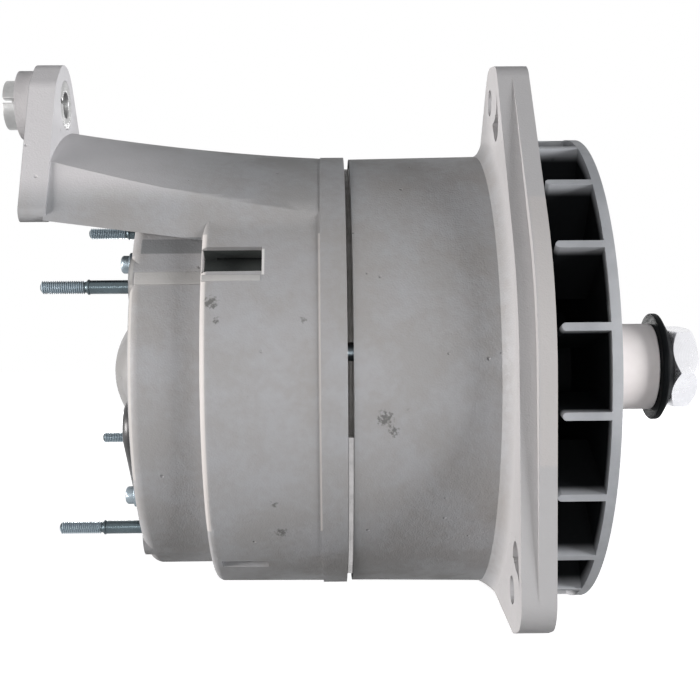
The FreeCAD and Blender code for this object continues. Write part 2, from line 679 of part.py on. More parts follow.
# Brush holder places, shared by the housing's opening, the holder and the brushes
SLIP_RING_X = REAR_BEARING_X1 + SLIP_RING_CLEAR
SLIP_RING_X1 = SLIP_RING_X + SLIP_RING_LEN
SECOND_RING_X = SLIP_RING_X1 + SLIP_RING_GAP
BRUSH_XS = (SLIP_RING_X + SLIP_RING_LEN / 2, SECOND_RING_X + SLIP_RING_LEN / 2)
BRUSH_TIP_Z = -(SLIP_RING_R + BRUSH_GAP)
BRUSH_TOP_Z = BRUSH_TIP_Z - BRUSH_LEN
SPRING_TOP_Z = BRUSH_TOP_Z - SPRING_LEN
HOLDER_BOTTOM_Z = SPRING_TOP_Z - HOLDER_WALL
HOLDER_TOP_Z = -(SLIP_RING_R + HOLDER_RING_CLEAR)
HOLDER_HALF_Y = BRUSH_WIDTH / 2 + BRUSH_FIT + HOLDER_WALL
HOLDER_X0 = REAR_BEARING_X1 + OVER
HOLDER_X1 = BRUSH_XS[1] + BRUSH_LEN_X / 2 + BRUSH_FIT + HOLDER_WALL
NECK_TOP_Z = -(CAP_R + MODULE_GAP)
MODULE_BOTTOM_Z = NECK_TOP_Z - MODULE_HEIGHT
MODULE_OUTLINE = [
    (MODULE_FAR_Y - MODULE_CORNER_R, NECK_TOP_Z - MODULE_CORNER_R, MODULE_CORNER_R),
    (*place(MODULE_LOBE_CIRCLE_R, MODULE_LOBE_DEG), MODULE_LOBE_R),
    (MODULE_NEAR_Y + MODULE_CORNER_R, MODULE_BOTTOM_Z + MODULE_CORNER_R, MODULE_CORNER_R),
    (MODULE_FAR_Y - MODULE_CORNER_R, MODULE_BOTTOM_Z + MODULE_CORNER_R, MODULE_CORNER_R)]
MODULE_MIDDLE_Z = (NECK_TOP_Z + MODULE_BOTTOM_Z) / 2


def stator_core():
    core = tube(STATOR_X0, STATOR_X1, STATOR_R, STATOR_BORE_R)
    cuts = around(radial_block(STATOR_X0 - OVER, STATOR_X1 + OVER, STATOR_BORE_R - OVER, SLOT_BOTTOM_R,
                               STATOR_SLOT_WIDTH), SLOT_COUNT)
    notch_r = BOLT_R + BOLT_CLEAR
    notch = rod_at(STATOR_X0 - OVER, STATOR_X1 + OVER, notch_r, BOLT_CIRCLE_R, 0)
    mouth = radial_block(STATOR_X0 - OVER, STATOR_X1 + OVER, BOLT_CIRCLE_R, STATOR_R + OVER, 2 * notch_r)
    cuts += around(joined([notch, mouth]), BOLT_COUNT, BOLT_DEG)
    return core.cut(Part.makeCompound(cuts))


def stator_winding():
    """Slot bars with the rounded end turns that join them."""
    bottom_r = SLOT_BOTTOM_R - SLOT_LINER
    width = STATOR_SLOT_WIDTH - 2 * SLOT_LINER
    x0, x1 = STATOR_X0 - OVERHANG, STATOR_X1 + OVERHANG
    bar = radial_block(STATOR_X0 - OVER, STATOR_X1 + OVER, bottom_r - OVERHANG_THK, bottom_r, width)
    pieces = around(bar, SLOT_COUNT)
    crown = OVERHANG_THK / 3
    for foot, top in ((STATOR_X0 - OVER, x0), (STATOR_X1 + OVER, x1)):
        lean = math.copysign(crown, foot - top)
        pieces.append(turned([(foot, bottom_r - OVERHANG_THK), (foot, bottom_r), (top + lean, bottom_r),
                              (top, bottom_r - crown), (top, bottom_r - OVERHANG_THK + crown),
                              (top + lean, bottom_r - OVERHANG_THK)]))
    return joined(pieces)


def through_bolts():
    bolts = []
    for i in range(BOLT_COUNT):
        angle = BOLT_DEG + i * 360 / BOLT_COUNT
        head_x = DRIVE_FACE_X - BOLT_HEAD_LEN
        head = rod_at(head_x, DRIVE_FACE_X - SCREW_CLEAR, BOLT_HEAD_R, BOLT_CIRCLE_R, angle)
        shank = rod_at(STATOR_X0 - BOLT_GRIP, head_x, BOLT_R, BOLT_CIRCLE_R, angle)
        socket = hexagon(DRIVE_FACE_X - BOLT_HEAD_LEN / 2, DRIVE_FACE_X, BOLT_HEAD_R,
                         *place(BOLT_CIRCLE_R, angle))
        bolts.append(joined([head, shank]).cut(socket))
    return Part.makeCompound(bolts)


def bearing(x0, width, bore_r, outer_r, ball_r):
    """Outer ring, inner ring, cage, balls and shields of a deep-groove bearing."""
    pitch_r = (bore_r + outer_r) / 2
    middle_x = x0 + width / 2
    land = ball_r * BEARING_LAND
    groove = Part.makeTorus(pitch_r, ball_r + BALL_CLEAR, vec(middle_x, 0, 0), AXIS)
    outer = tube(x0, x0 + width, outer_r, pitch_r + land).cut(groove)
    inner = tube(x0, x0 + width, pitch_r - land, bore_r).cut(groove)
    balls = []
    pockets = []
    for i in range(BALL_COUNT):
        y, z = place(pitch_r, i * 360 / BALL_COUNT)
        balls.append(Part.makeSphere(ball_r, vec(middle_x, y, z)))
        pockets.append(Part.makeSphere(ball_r + BALL_CLEAR, vec(middle_x, y, z)))
    half = ball_r + CAGE_RIM
    cage = tube(middle_x - half, middle_x + half, pitch_r + land / 2, pitch_r - land / 2)
    cage = cage.cut(Part.makeCompound(pockets))
    shields = [tube(x, x + SHIELD_THK, pitch_r + land, pitch_r - land + BALL_CLEAR)
               for x in (x0, x0 + width - SHIELD_THK)]
    return outer, inner, cage, Part.makeCompound(balls), Part.makeCompound(shields)


def retainer_plate():
    plate = tube(DRIVE_BEARING_X0 - RETAINER_THK, DRIVE_BEARING_X0, DRIVE_HUB_R - SCREW_CLEAR,
                 SHAFT_SHOULDER_R + RETAINER_THK)
    holes = around(rod_at(DRIVE_BEARING_X0 - RETAINER_THK - OVER, DRIVE_BEARING_X0 + OVER,
                          SINK_SCREW_R + SCREW_CLEAR, RETAINER_SCREW_R, 0),
                   BOLT_COUNT, BOLT_DEG)
    return plate.cut(Part.makeCompound(holes))


def retainer_screws():
    top_x = DRIVE_BEARING_X0 - RETAINER_THK
    head = rod_at(top_x - SMALL_HEAD_LEN, top_x, SMALL_HEAD_R, RETAINER_SCREW_R, 0)
    shank = rod_at(top_x, DRIVE_BEARING_X0 + SMALL_SCREW_GRIP, SINK_SCREW_R, RETAINER_SCREW_R, 0)
    return Part.makeCompound(around(joined([head, shank]), BOLT_COUNT, BOLT_DEG))


def rear_bearing_cap():
    """A domed dust cap seated on the rear face, round the bearing hub."""
    rise = CAP_DOME_R - math.sqrt(CAP_DOME_R ** 2 - CAP_R ** 2)
    tip_x = REAR_FACE_X - CAP_SKIRT - rise
    middle = vec(tip_x + CAP_DOME_R, 0, 0)
    outer = Part.makeSphere(CAP_DOME_R, middle).common(rod(tip_x - OVER, REAR_FACE_X, CAP_R))
    inner = Part.makeSphere(CAP_DOME_R - CAP_WALL, middle).common(rod(tip_x, REAR_FACE_X + OVER, REAR_HUB_R))
    return outer.cut(inner)


def cover_studs():
    """Studs with a collar, screwed into the rear face."""
    thread = rod_at(STUD_CHAMFER - STUD_THREAD_LEN, 0, STUD_R, STUD_CIRCLE_R, 0)
    collar = rod_at(0, STUD_COLLAR_LEN, STUD_COLLAR_R, STUD_CIRCLE_R, 0)
    shank = rod_at(STUD_COLLAR_LEN, REAR_FACE_X + STUD_BOSS_DEPTH, STUD_SHANK_R, STUD_CIRCLE_R, 0)
    tip_y, tip_z = place(STUD_CIRCLE_R, 0)
    start = vec(-STUD_THREAD_LEN, tip_y, tip_z)
    tip = Part.makeCone(STUD_R - STUD_CHAMFER, STUD_R, STUD_CHAMFER, start, AXIS)
    return Part.makeCompound(around(joined([thread, collar, shank, tip]), STUD_COUNT, STUD_DEG))


def sink_sector(x0, outer_r):
    """A horseshoe heat-sink plate that leaves room for the brush holder."""
    middle = (SINK_START_DEG + SINK_END_DEG) / 2
    corners = [vec(x0, 0, 0)]
    quarter = (SINK_END_DEG - SINK_START_DEG) / 4
    for degrees in (SINK_START_DEG, SINK_START_DEG + quarter, middle, SINK_END_DEG - quarter, SINK_END_DEG):
        corners.append(vec(x0, *place(2 * outer_r, degrees)))
    corners.append(corners[0])
    wedge = Part.Face(Part.makePolygon(corners)).extrude(vec(SINK_THK, 0, 0))
    return tube(x0, x0 + SINK_THK, outer_r, SINK_IN_R).common(wedge)


def diode_angles(offset):
    pitch = (SINK_END_DEG - SINK_START_DEG) / DIODE_COUNT
    return [SINK_START_DEG + (i + offset) * pitch for i in range(DIODE_COUNT)]


def heat_sink(x0, offset, stud_hole_r):
    plate = sink_sector(x0, SINK_OUT_R)
    holes = [rod_at(x0 - OVER, x0 + SINK_THK + OVER, DIODE_R, DIODE_CIRCLE_R, a) for a in diode_angles(offset)]
    holes += around(rod_at(x0 - OVER, x0 + SINK_THK + OVER, SINK_SCREW_R + SCREW_CLEAR, SINK_SCREW_CIRCLE_R, 0),
                    SINK_SCREW_COUNT, SINK_SCREW_DEG)
    holes.append(rod_at(x0 - OVER, x0 + SINK_THK + OVER, stud_hole_r, TERMINAL_CIRCLE_R, POSITIVE_DEG))
    return plate.cut(Part.makeCompound(holes))


def diodes(x0, offset):
    pieces = []
    for angle in diode_angles(offset):
        body = rod_at(x0 + SINK_THK - DIODE_LEN, x0 + SINK_THK, DIODE_R, DIODE_CIRCLE_R, angle)
        lead = rod_at(x0 + SINK_THK, x0 + SINK_THK + DIODE_LEAD_LEN, DIODE_LEAD_R, DIODE_CIRCLE_R, angle)
        pieces.append(joined([body, lead]))
    return Part.makeCompound(pieces)


def sink_spacers():
    y, z = place(SINK_SCREW_CIRCLE_R, 0)
    spacer = tube(NEGATIVE_SINK_X + SINK_THK, POSITIVE_SINK_X, SINK_BOSS_R, SINK_SCREW_R + SCREW_CLEAR, y, z)
    return Part.makeCompound(around(spacer, SINK_SCREW_COUNT, SINK_SCREW_DEG))


def sink_screws():
    """Rectifier screws, each with a fixed washer that seats on the rear face."""
    pad_x = REAR_FACE_X - SINK_PAD_THK
    head = rod_at(pad_x - SMALL_HEAD_LEN, pad_x, SMALL_HEAD_R, SINK_SCREW_CIRCLE_R, 0)
    pad = rod_at(pad_x, REAR_FACE_X, SINK_BOSS_R, SINK_SCREW_CIRCLE_R, 0)
    shank = rod_at(REAR_FACE_X, SINK_TOP_X + SMALL_NUT_LEN + OVER, SINK_SCREW_R, SINK_SCREW_CIRCLE_R, 0)
    return Part.makeCompound(around(joined([head, pad, shank]), SINK_SCREW_COUNT, SINK_SCREW_DEG))


def sink_nuts():
    y, z = place(SINK_SCREW_CIRCLE_R, 0)
    nut = hexagon(SINK_TOP_X, SINK_TOP_X + SMALL_NUT_LEN, SMALL_NUT_AF, y, z)
    nut = nut.cut(rod(SINK_TOP_X - OVER, SINK_TOP_X + SMALL_NUT_LEN + OVER, SINK_SCREW_R, y, z))
    return Part.makeCompound(around(nut, SINK_SCREW_COUNT, SINK_SCREW_DEG))


def terminal_stud(end_x, seat_x, inner_x, stud_r, degrees):
    """A stud whose full thread ends just short of what is clamped on its slimmer shank."""
    relief_x = seat_x - THREAD_RELIEF
    thread = rod_at(end_x, relief_x, stud_r, TERMINAL_CIRCLE_R, degrees)
    shank = rod_at(relief_x, inner_x, stud_r - THREAD_RELIEF, TERMINAL_CIRCLE_R, degrees)
    return joined([thread, shank])


def power_studs():
    """The insulated positive stud on its heat sink and the negative stud in the wall."""
    end_x = REAR_FACE_X - POWER_STUD_LEN
    nut_x = REAR_FACE_X - POWER_WASHER_THK - POWER_NUT_LEN
    positive = terminal_stud(end_x, nut_x - INSULATOR_FLANGE, SINK_TOP_X, POWER_STUD_R, POSITIVE_DEG)
    head = rod_at(SINK_TOP_X, SINK_TOP_X + POWER_STUD_R, POWER_HEAD_R, TERMINAL_CIRCLE_R, POSITIVE_DEG)
    negative = terminal_stud(end_x, nut_x, REAR_WALL_X + POWER_STUD_R, POWER_STUD_R, NEGATIVE_DEG)
    return joined([positive, head]), negative


def positive_insulator():
    y, z = place(TERMINAL_CIRCLE_R, POSITIVE_DEG)
    outer_r = POWER_STUD_R + INSULATOR_WALL
    sleeve = tube(REAR_FACE_X - OVER, REAR_WALL_X, outer_r, POWER_SHANK_R, y, z)
    flange = tube(REAR_FACE_X - INSULATOR_FLANGE, REAR_FACE_X, outer_r + INSULATOR_FLANGE, POWER_SHANK_R, y, z)
    return joined([sleeve, flange])


def power_nuts():
    nuts = []
    for degrees, seat_x in ((POSITIVE_DEG, REAR_FACE_X - INSULATOR_FLANGE), (NEGATIVE_DEG, REAR_FACE_X)):
        y, z = place(TERMINAL_CIRCLE_R, degrees)
        nut_x = seat_x - POWER_WASHER_THK
        washer = tube(nut_x, seat_x, POWER_WASHER_R, POWER_SHANK_R, y, z)
        nut = hexagon(nut_x - POWER_NUT_LEN, nut_x, POWER_NUT_AF, y, z)
        nut = nut.cut(rod(nut_x - POWER_NUT_LEN - OVER, nut_x + OVER, POWER_SHANK_R, y, z))
        nuts += [washer, nut]
    return Part.makeCompound(nuts)


def signal_terminals():
    """Small threaded studs for the warning lamp and the speed signal."""
    studs = [terminal_stud(REAR_FACE_X - SIGNAL_STUD_LEN, REAR_FACE_X - INSULATOR_FLANGE,
                           REAR_WALL_X + INSULATOR_FLANGE, SIGNAL_STUD_R, degrees) for degrees in SIGNAL_DEGS]
    return Part.makeCompound(studs)


def signal_insulators():
    pieces = []
    for degrees in SIGNAL_DEGS:
        y, z = place(TERMINAL_CIRCLE_R, degrees)
        sleeve = tube(REAR_FACE_X - OVER, REAR_WALL_X, SIGNAL_INSULATOR_R, SIGNAL_SHANK_R, y, z)
        flange = tube(REAR_FACE_X - INSULATOR_FLANGE, REAR_FACE_X, SIGNAL_INSULATOR_R + OVER, SIGNAL_SHANK_R, y, z)
        pieces.append(joined([sleeve, flange]))
    return Part.makeCompound(pieces)


def brush_holder():
    """The brush box inside, its neck through the rear wall and its outer flange."""
    box = block(HOLDER_X0, HOLDER_X1, -HOLDER_HALF_Y, HOLDER_HALF_Y, HOLDER_BOTTOM_Z, HOLDER_TOP_Z)
    neck = block(REAR_FACE_X, HOLDER_X0 + OVER, -HOLDER_HALF_Y + SCREW_CLEAR, HOLDER_HALF_Y - SCREW_CLEAR,
                 HOLDER_BOTTOM_Z + SCREW_CLEAR, NECK_TOP_Z - SCREW_CLEAR)
    flange = belt_plate(REAR_FACE_X - HOLDER_FLANGE_THK, REAR_FACE_X, MODULE_OUTLINE)
    flange = flange.cut(rod(REAR_FACE_X - HOLDER_FLANGE_THK - OVER, REAR_FACE_X + OVER, CAP_R + MODULE_GAP))
    body = joined([box, neck, flange])
    cuts = []
    half_y = BRUSH_WIDTH / 2 + BRUSH_FIT
    half_x = BRUSH_LEN_X / 2 + BRUSH_FIT
    for x in BRUSH_XS:
        cuts.append(block(x - half_x, x + half_x, -half_y, half_y, SPRING_TOP_Z, HOLDER_TOP_Z + OVER))
    for y in (-MODULE_SCREW_SPAN / 2, MODULE_SCREW_SPAN / 2):
        cuts.append(rod(REAR_FACE_X - HOLDER_FLANGE_THK - OVER, REAR_FACE_X + OVER, MODULE_SCREW_R + SCREW_CLEAR,
                        y, MODULE_MIDDLE_Z))
    return body.cut(Part.makeCompound(cuts))


def regulator():
    """The potted regulator on the holder's flange, hugging the bearing cap, its rear edges rounded."""
    x1 = REAR_FACE_X - HOLDER_FLANGE_THK
    x0 = x1 - REGULATOR_THK
    case = belt_plate(x0, x1, MODULE_OUTLINE)
    case = case.makeFillet(REGULATOR_ROUND, [edge for edge in case.Edges if edge.BoundBox.XMax < x0 + 0.01])
    cuts = [rod(x0 - OVER, x1 + OVER, CAP_R + MODULE_GAP)]
    for y in (-MODULE_SCREW_SPAN / 2, MODULE_SCREW_SPAN / 2):
        cuts.append(rod(x0 - OVER, x1 + OVER, MODULE_HEAD_R + SCREW_CLEAR, y, MODULE_MIDDLE_Z))
    return case.cut(Part.makeCompound(cuts))


def module_screws():
    seat_x = REAR_FACE_X - HOLDER_FLANGE_THK
    screws = []
    for y in (-MODULE_SCREW_SPAN / 2, MODULE_SCREW_SPAN / 2):
        head = rod(seat_x - SMALL_HEAD_LEN, seat_x, MODULE_HEAD_R, y, MODULE_MIDDLE_Z)
        shank = rod(seat_x, REAR_FACE_X + MODULE_SCREW_GRIP, MODULE_SCREW_R, y, MODULE_MIDDLE_Z)
        screws.append(joined([head, shank]))
    return Part.makeCompound(screws)


def brush(x):
    return block(x - BRUSH_LEN_X / 2, x + BRUSH_LEN_X / 2, -BRUSH_WIDTH / 2, BRUSH_WIDTH / 2,
                 BRUSH_TOP_Z, BRUSH_TIP_Z)


def brush_spring(x):
    coil = Part.makeCylinder(SPRING_R, SPRING_LEN, vec(x, 0, SPRING_TOP_Z), vec(0, 0, 1))
    return coil.cut(Part.makeCylinder(SPRING_BORE_R, SPRING_LEN, vec(x, 0, SPRING_TOP_Z), vec(0, 0, 1)))


def shaft():
    body = turned([
        (REAR_BEARING_X0 - OVER, 0), (REAR_BEARING_X0 - OVER, REAR_BEARING_BORE_R),
        (REAR_BEARING_X1, REAR_BEARING_BORE_R), (REAR_BEARING_X1, RING_SEAT_R), (ROTOR_X0, RING_SEAT_R),
        (ROTOR_X0, CORE_SEAT_R), (ROTOR_X1, CORE_SEAT_R), (ROTOR_X1, SHAFT_SHOULDER_R),
        (DRIVE_BEARING_X0, SHAFT_SHOULDER_R), (DRIVE_BEARING_X0, DRIVE_BEARING_BORE_R),
        (DRIVE_BEARING_X1, DRIVE_BEARING_BORE_R), (DRIVE_BEARING_X1, PULLEY_SEAT_R),
        (SLEEVE_X1, PULLEY_SEAT_R), (SLEEVE_X1, THREAD_R), (NUT_X1 - 2 * OVER, THREAD_R),
        (NUT_X1 - OVER, THREAD_R - OVER), (NUT_X1 - OVER, 0)])
    return body.cut(hexagon(NUT_X1 - OVER - SOCKET_DEPTH, NUT_X1, SOCKET_AF))


def claw_section(x, inner_r, width):
    """One claw's cross-section at this station, a little proud of the rotor's surface."""
    half = width / 2
    corners = [vec(x, -inner_r, -half), vec(x, -inner_r, half), vec(x, -ROTOR_R - 3 * OVER, half),
               vec(x, -ROTOR_R - 3 * OVER, -half)]
    return Part.makePolygon(corners + corners[:1])


def claw_pole(root_x, tip_side, start_deg):
    """A forged pole half: half the core, its disc and the tapered claws."""
    disc_x = root_x + tip_side * POLE_DISC_THK
    tip_x = root_x + tip_side * (ROTOR_LEN - CLAW_END_GAP)
    middle_x = root_x + tip_side * ROTOR_LEN / 2
    disc = rod(min(root_x, disc_x), max(root_x, disc_x), POLE_DISC_R)
    core = rod(min(disc_x, middle_x), max(disc_x, middle_x), POLE_CORE_R)
    root_in_r = POLE_DISC_R - OVER
    bend = (ROTOR_LEN - CLAW_END_GAP - POLE_DISC_THK) / (ROTOR_LEN - CLAW_END_GAP)
    bend_width = CLAW_TIP_WIDTH + (CLAW_ROOT_WIDTH - CLAW_TIP_WIDTH) * bend
    root = Part.makeLoft([claw_section(root_x, root_in_r, CLAW_ROOT_WIDTH),
                          claw_section(disc_x, root_in_r, bend_width)], True, True)
    finger = Part.makeLoft([claw_section(disc_x, root_in_r, bend_width),
                            claw_section(tip_x, ROTOR_R - CLAW_TIP_THK, CLAW_TIP_WIDTH)], True, True)
    claw = joined([root, finger]).common(rod(min(root_x, tip_x), max(root_x, tip_x), ROTOR_R))
    pole = joined([disc, core] + around(claw, POLE_PAIRS, start_deg))
    return pole.cut(rod(ROTOR_X0 - OVER, ROTOR_X1 + OVER, CORE_SEAT_R))


def coil_bobbin():
    x0, x1 = ROTOR_X0 + POLE_DISC_THK, ROTOR_X1 - POLE_DISC_THK
    sleeve = tube(x0, x1, POLE_CORE_R + BOBBIN_THK, POLE_CORE_R)
    cheeks = [tube(x, x + BOBBIN_THK, COIL_R + BOBBIN_THK, POLE_CORE_R) for x in (x0, x1 - BOBBIN_THK)]
    return joined([sleeve] + cheeks)


def field_coil():
    x0, x1 = ROTOR_X0 + POLE_DISC_THK + BOBBIN_THK, ROTOR_X1 - POLE_DISC_THK - BOBBIN_THK
    return tube(x0, x1, COIL_R, POLE_CORE_R + BOBBIN_THK)


def slip_ring_hub():
    return tube(SLIP_RING_X - OVER, SECOND_RING_X + SLIP_RING_LEN + OVER, SLIP_HUB_R, RING_SEAT_R)


def slip_rings():
    return Part.makeCompound([tube(x, x + SLIP_RING_LEN, SLIP_RING_R, SLIP_HUB_R)
                              for x in (SLIP_RING_X, SECOND_RING_X)])


def fan_blade():
    """A straight radial blade with a rounded rear edge."""
    plate_x = FAN_X1 - FAN_PLATE_THK + OVER
    root_x = FAN_X0 + BLADE_THK / 2
    web = radial_block(root_x, plate_x, BLADE_IN_R, FAN_R + OVER, BLADE_THK)
    nose = Part.makeCylinder(BLADE_THK / 2, FAN_R + OVER - BLADE_IN_R, vec(root_x, -BLADE_IN_R, 0), vec(0, -1, 0))
    return joined([web, nose]).common(rod(FAN_X0 - OVER, FAN_X1, FAN_R))


def cooling_fan():
    plate = turned([(FAN_X1 - FAN_PLATE_THK, 0), (FAN_X1 - FAN_PLATE_THK, FAN_R), (FAN_X1, FAN_R), (FAN_X1, 0)])
    hub = rod(FAN_X0, FAN_X1, FAN_HUB_R)
    fan = joined([plate, hub] + around(fan_blade(), BLADE_COUNT, BLADE_DEG))
    return fan.cut(rod(FAN_X0 - OVER, FAN_X1 + OVER, PULLEY_SEAT_R))


def fan_spacer():
    return tube(DRIVE_BEARING_X1, FAN_X0, SPACER_R, PULLEY_SEAT_R)


def spacer_sleeve():
    return tube(FAN_X1, SLEEVE_X1, SLEEVE_R, PULLEY_SEAT_R)


def lock_washer():
    return turned([(SLEEVE_X1, THREAD_R), (SLEEVE_X1, WASHER_R), (SLEEVE_X1 + WASHER_EDGE, WASHER_R),
                   (WASHER_X1, WASHER_TOP_R), (WASHER_X1, THREAD_R)])


def pulley_nut():
    """A thin hexagon nut, chamfered on both faces."""
    corner_r = NUT_AF / math.sqrt(3)
    lead = corner_r - NUT_AF / 2
    envelope = turned([(WASHER_X1, 0), (WASHER_X1, NUT_AF / 2), (WASHER_X1 + lead, corner_r),
                       (NUT_X1 - lead, corner_r), (NUT_X1, NUT_AF / 2), (NUT_X1, 0)])
    body = hexagon(WASHER_X1, NUT_X1, NUT_AF, degrees=NUT_DEG).common(envelope)
    return body.cut(rod(WASHER_X1 - OVER, NUT_X1 + OVER, THREAD_R))


def pivot_bushing():
    """The slotted steel bushing that slides in the rear ear to take up clearance."""
    sleeve = tube(REAR_EAR_X - BUSHING_LEN, REAR_EAR_X, BUSHING_R, BOLT_HOLE_R, *PIVOT_YZ)
    y, z = PIVOT_YZ
    slot = block(REAR_EAR_X - BUSHING_LEN - OVER, REAR_EAR_X + OVER, y - BUSHING_R - OVER, y,
                 z - BUSHING_SLOT / 2, z + BUSHING_SLOT / 2)
    return sleeve.cut(slot)


def all_nodes():
    drive = bearing(DRIVE_BEARING_X0, DRIVE_BEARING_WIDTH, DRIVE_BEARING_BORE_R, DRIVE_BEARING_R, DRIVE_BALL_R)
    rear = bearing(REAR_BEARING_X0, REAR_BEARING_WIDTH, REAR_BEARING_BORE_R, REAR_BEARING_R, REAR_BALL_R)
    positive_stud, negative_stud = power_studs()
    return {
        "drive_end_housing": drive_end_housing(),
        "rear_housing": rear_housing(),
        "stator_core": stator_core(),
        "stator_winding": stator_winding(),
        "through_bolts": through_bolts(),
        "drive_bearing_outer_ring": drive[0],
        "drive_bearing_inner_ring": drive[1],
        "drive_bearing_cage": drive[2],
        "drive_bearing_balls": drive[3],
        "drive_bearing_shields": drive[4],
        "rear_bearing_outer_ring": rear[0],
        "rear_bearing_inner_ring": rear[1],
        "rear_bearing_cage": rear[2],
        "rear_bearing_balls": rear[3],
        "rear_bearing_shields": rear[4],
        "bearing_retainer_plate": retainer_plate(),
        "retainer_screws": retainer_screws(),
        "rear_bearing_cap": rear_bearing_cap(),
        "cover_studs": cover_studs(),
        "negative_heat_sink": heat_sink(NEGATIVE_SINK_X, 0.5, POWER_STUD_R + INSULATOR_WALL),
        "positive_heat_sink": heat_sink(POSITIVE_SINK_X, 0.5, POWER_SHANK_R),
        "negative_diodes": diodes(NEGATIVE_SINK_X, 0.5),
        "positive_diodes": diodes(POSITIVE_SINK_X, 0.5),
        "heat_sink_spacers": sink_spacers(),
        "heat_sink_screws": sink_screws(),
        "heat_sink_nuts": sink_nuts(),
        "positive_stud": positive_stud,
        "positive_insulator": positive_insulator(),
        "negative_stud": negative_stud,
        "power_nuts": power_nuts(),
        "signal_terminals": signal_terminals(),
        "signal_insulators": signal_insulators(),
        "brush_holder": brush_holder(),
        "regulator": regulator(),
        "regulator_screws": module_screws(),
        "rear_brush": brush(BRUSH_XS[0]),
        "front_brush": brush(BRUSH_XS[1]),
        "rear_brush_spring": brush_spring(BRUSH_XS[0]),
        "front_brush_spring": brush_spring(BRUSH_XS[1]),
        "pivot_bushing": pivot_bushing(),
        "shaft": shaft(),
        "rear_claw_pole": claw_pole(ROTOR_X0, 1, 0.0),
        "drive_claw_pole": claw_pole(ROTOR_X1, -1, 180.0 / POLE_PAIRS),
        "coil_bobbin": coil_bobbin(),
        "field_coil": field_coil(),
        "slip_ring_hub": slip_ring_hub(),
        "slip_rings": slip_rings(),
        "cooling_fan": cooling_fan(),
        "fan_spacer": fan_spacer(),
        "spacer_sleeve": spacer_sleeve(),
        "lock_washer": lock_washer(),
        "pulley_nut": pulley_nut(),
    }


os.makedirs("parts", exist_ok=True)
for name, shape in all_nodes().items():
    shape.exportStep(f"parts/{name}.step")
    print(name, len(shape.Solids), "solids", round(shape.Volume), "mm3", "valid", shape.isValid())
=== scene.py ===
"""Looks of a belt-driven bus alternator: finishes, fine pieces, studio and camera."""
import json
import logging
import math
from dataclasses import dataclass, field
from enum import Enum

import bpy
from mathutils import Matrix, Vector


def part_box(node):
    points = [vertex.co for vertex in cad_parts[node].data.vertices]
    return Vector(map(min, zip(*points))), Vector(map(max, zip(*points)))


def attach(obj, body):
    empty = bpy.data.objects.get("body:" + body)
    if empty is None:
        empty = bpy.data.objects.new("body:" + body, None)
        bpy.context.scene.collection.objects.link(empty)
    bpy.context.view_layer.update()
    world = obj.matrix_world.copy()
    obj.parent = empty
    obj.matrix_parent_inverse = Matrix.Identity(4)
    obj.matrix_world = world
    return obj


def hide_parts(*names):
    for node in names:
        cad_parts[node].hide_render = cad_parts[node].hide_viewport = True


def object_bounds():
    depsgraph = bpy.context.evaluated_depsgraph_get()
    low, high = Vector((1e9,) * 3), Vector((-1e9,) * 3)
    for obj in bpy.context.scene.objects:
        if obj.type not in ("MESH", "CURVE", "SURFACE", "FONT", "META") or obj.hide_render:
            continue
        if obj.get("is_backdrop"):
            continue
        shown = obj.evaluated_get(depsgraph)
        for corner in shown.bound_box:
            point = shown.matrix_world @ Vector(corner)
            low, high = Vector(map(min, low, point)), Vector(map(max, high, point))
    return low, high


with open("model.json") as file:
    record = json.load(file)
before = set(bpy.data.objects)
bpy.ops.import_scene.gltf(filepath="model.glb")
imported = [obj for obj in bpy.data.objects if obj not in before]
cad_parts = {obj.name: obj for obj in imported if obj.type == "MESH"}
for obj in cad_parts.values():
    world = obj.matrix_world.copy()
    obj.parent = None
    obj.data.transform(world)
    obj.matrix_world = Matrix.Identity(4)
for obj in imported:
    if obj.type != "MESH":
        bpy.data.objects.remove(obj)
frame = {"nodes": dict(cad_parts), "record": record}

LOG = logging.getLogger("alternator")
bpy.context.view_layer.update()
Node = bpy.types.Node
Socket = bpy.types.NodeSocket
Piece = bpy.types.Object
Point = tuple[float, float, float]
Colour = tuple[float, float, float]
Span = tuple[float, float]
Profile = list[Span]
MM = 0.001
WELD = 0.000004  # vertices nearer than this become one
FLAT_DEG = 0.15  # faces that meet flatter than this become one
SMOOTH_DEG = 32.0  # edges sharper than this stay crisp
BEVEL_DEG = 30.0  # edges flatter than this aren't rounded
WHITE: Colour = (1.0, 1.0, 1.0)
# Corners of a thread's ridge, in pitches: along the axis, and below the crest.
THREAD_SECTION = ((0.0, 0.68), (0.44, 0.0), (0.56, 0.0), (0.98, 0.68))


def around(radius: float, degrees: float) -> Span:
    """Return Y and Z of a place round the shaft, in degrees above its near side."""
    turn = math.radians(degrees)
    return -radius * math.cos(turn), radius * math.sin(turn)


class Surface(Enum):
    """How a finish was made, which picks the texture under its colour."""

    CAST = "cast"
    TURNED = "turned"
    MOULDED = "moulded"
    STACKED = "stacked"
    WOUND = "wound"


CAST, TURNED, MOULDED, STACKED, WOUND = Surface


@dataclass(frozen=True)
class Finish:
    """One finish, with its colours, gloss and grain.

    Args:
        slot: Its material slot of the record, or the name of an extra look that no slot has.
        surface: The way the surface was made.
        base: Main colour, linear.
        second: Second tone of the mottling, linear.
        metallic: Metallic value of the shader.
        roughness: Lowest roughness.
        spread: How much rougher the dull patches are.
        grain: Grain cells per metre.
        bump: Grain height in metres.
        stain: Share of the surface under handling marks.
        stain_colour: Colour of the marks, linear.
        coat: Weight of a clear or oily coat.
        specular: Specular level of the shader.
    """

    slot: str
    surface: Surface
    base: Colour
    second: Colour
    metallic: float = 0.0
    roughness: float = 0.5
    spread: float = 0.15
    grain: float = 700.0
    bump: float = 0.00008
    stain: float = 0.0
    stain_colour: Colour = (0.1, 0.085, 0.07)
    coat: float = 0.0
    specular: float = 0.5


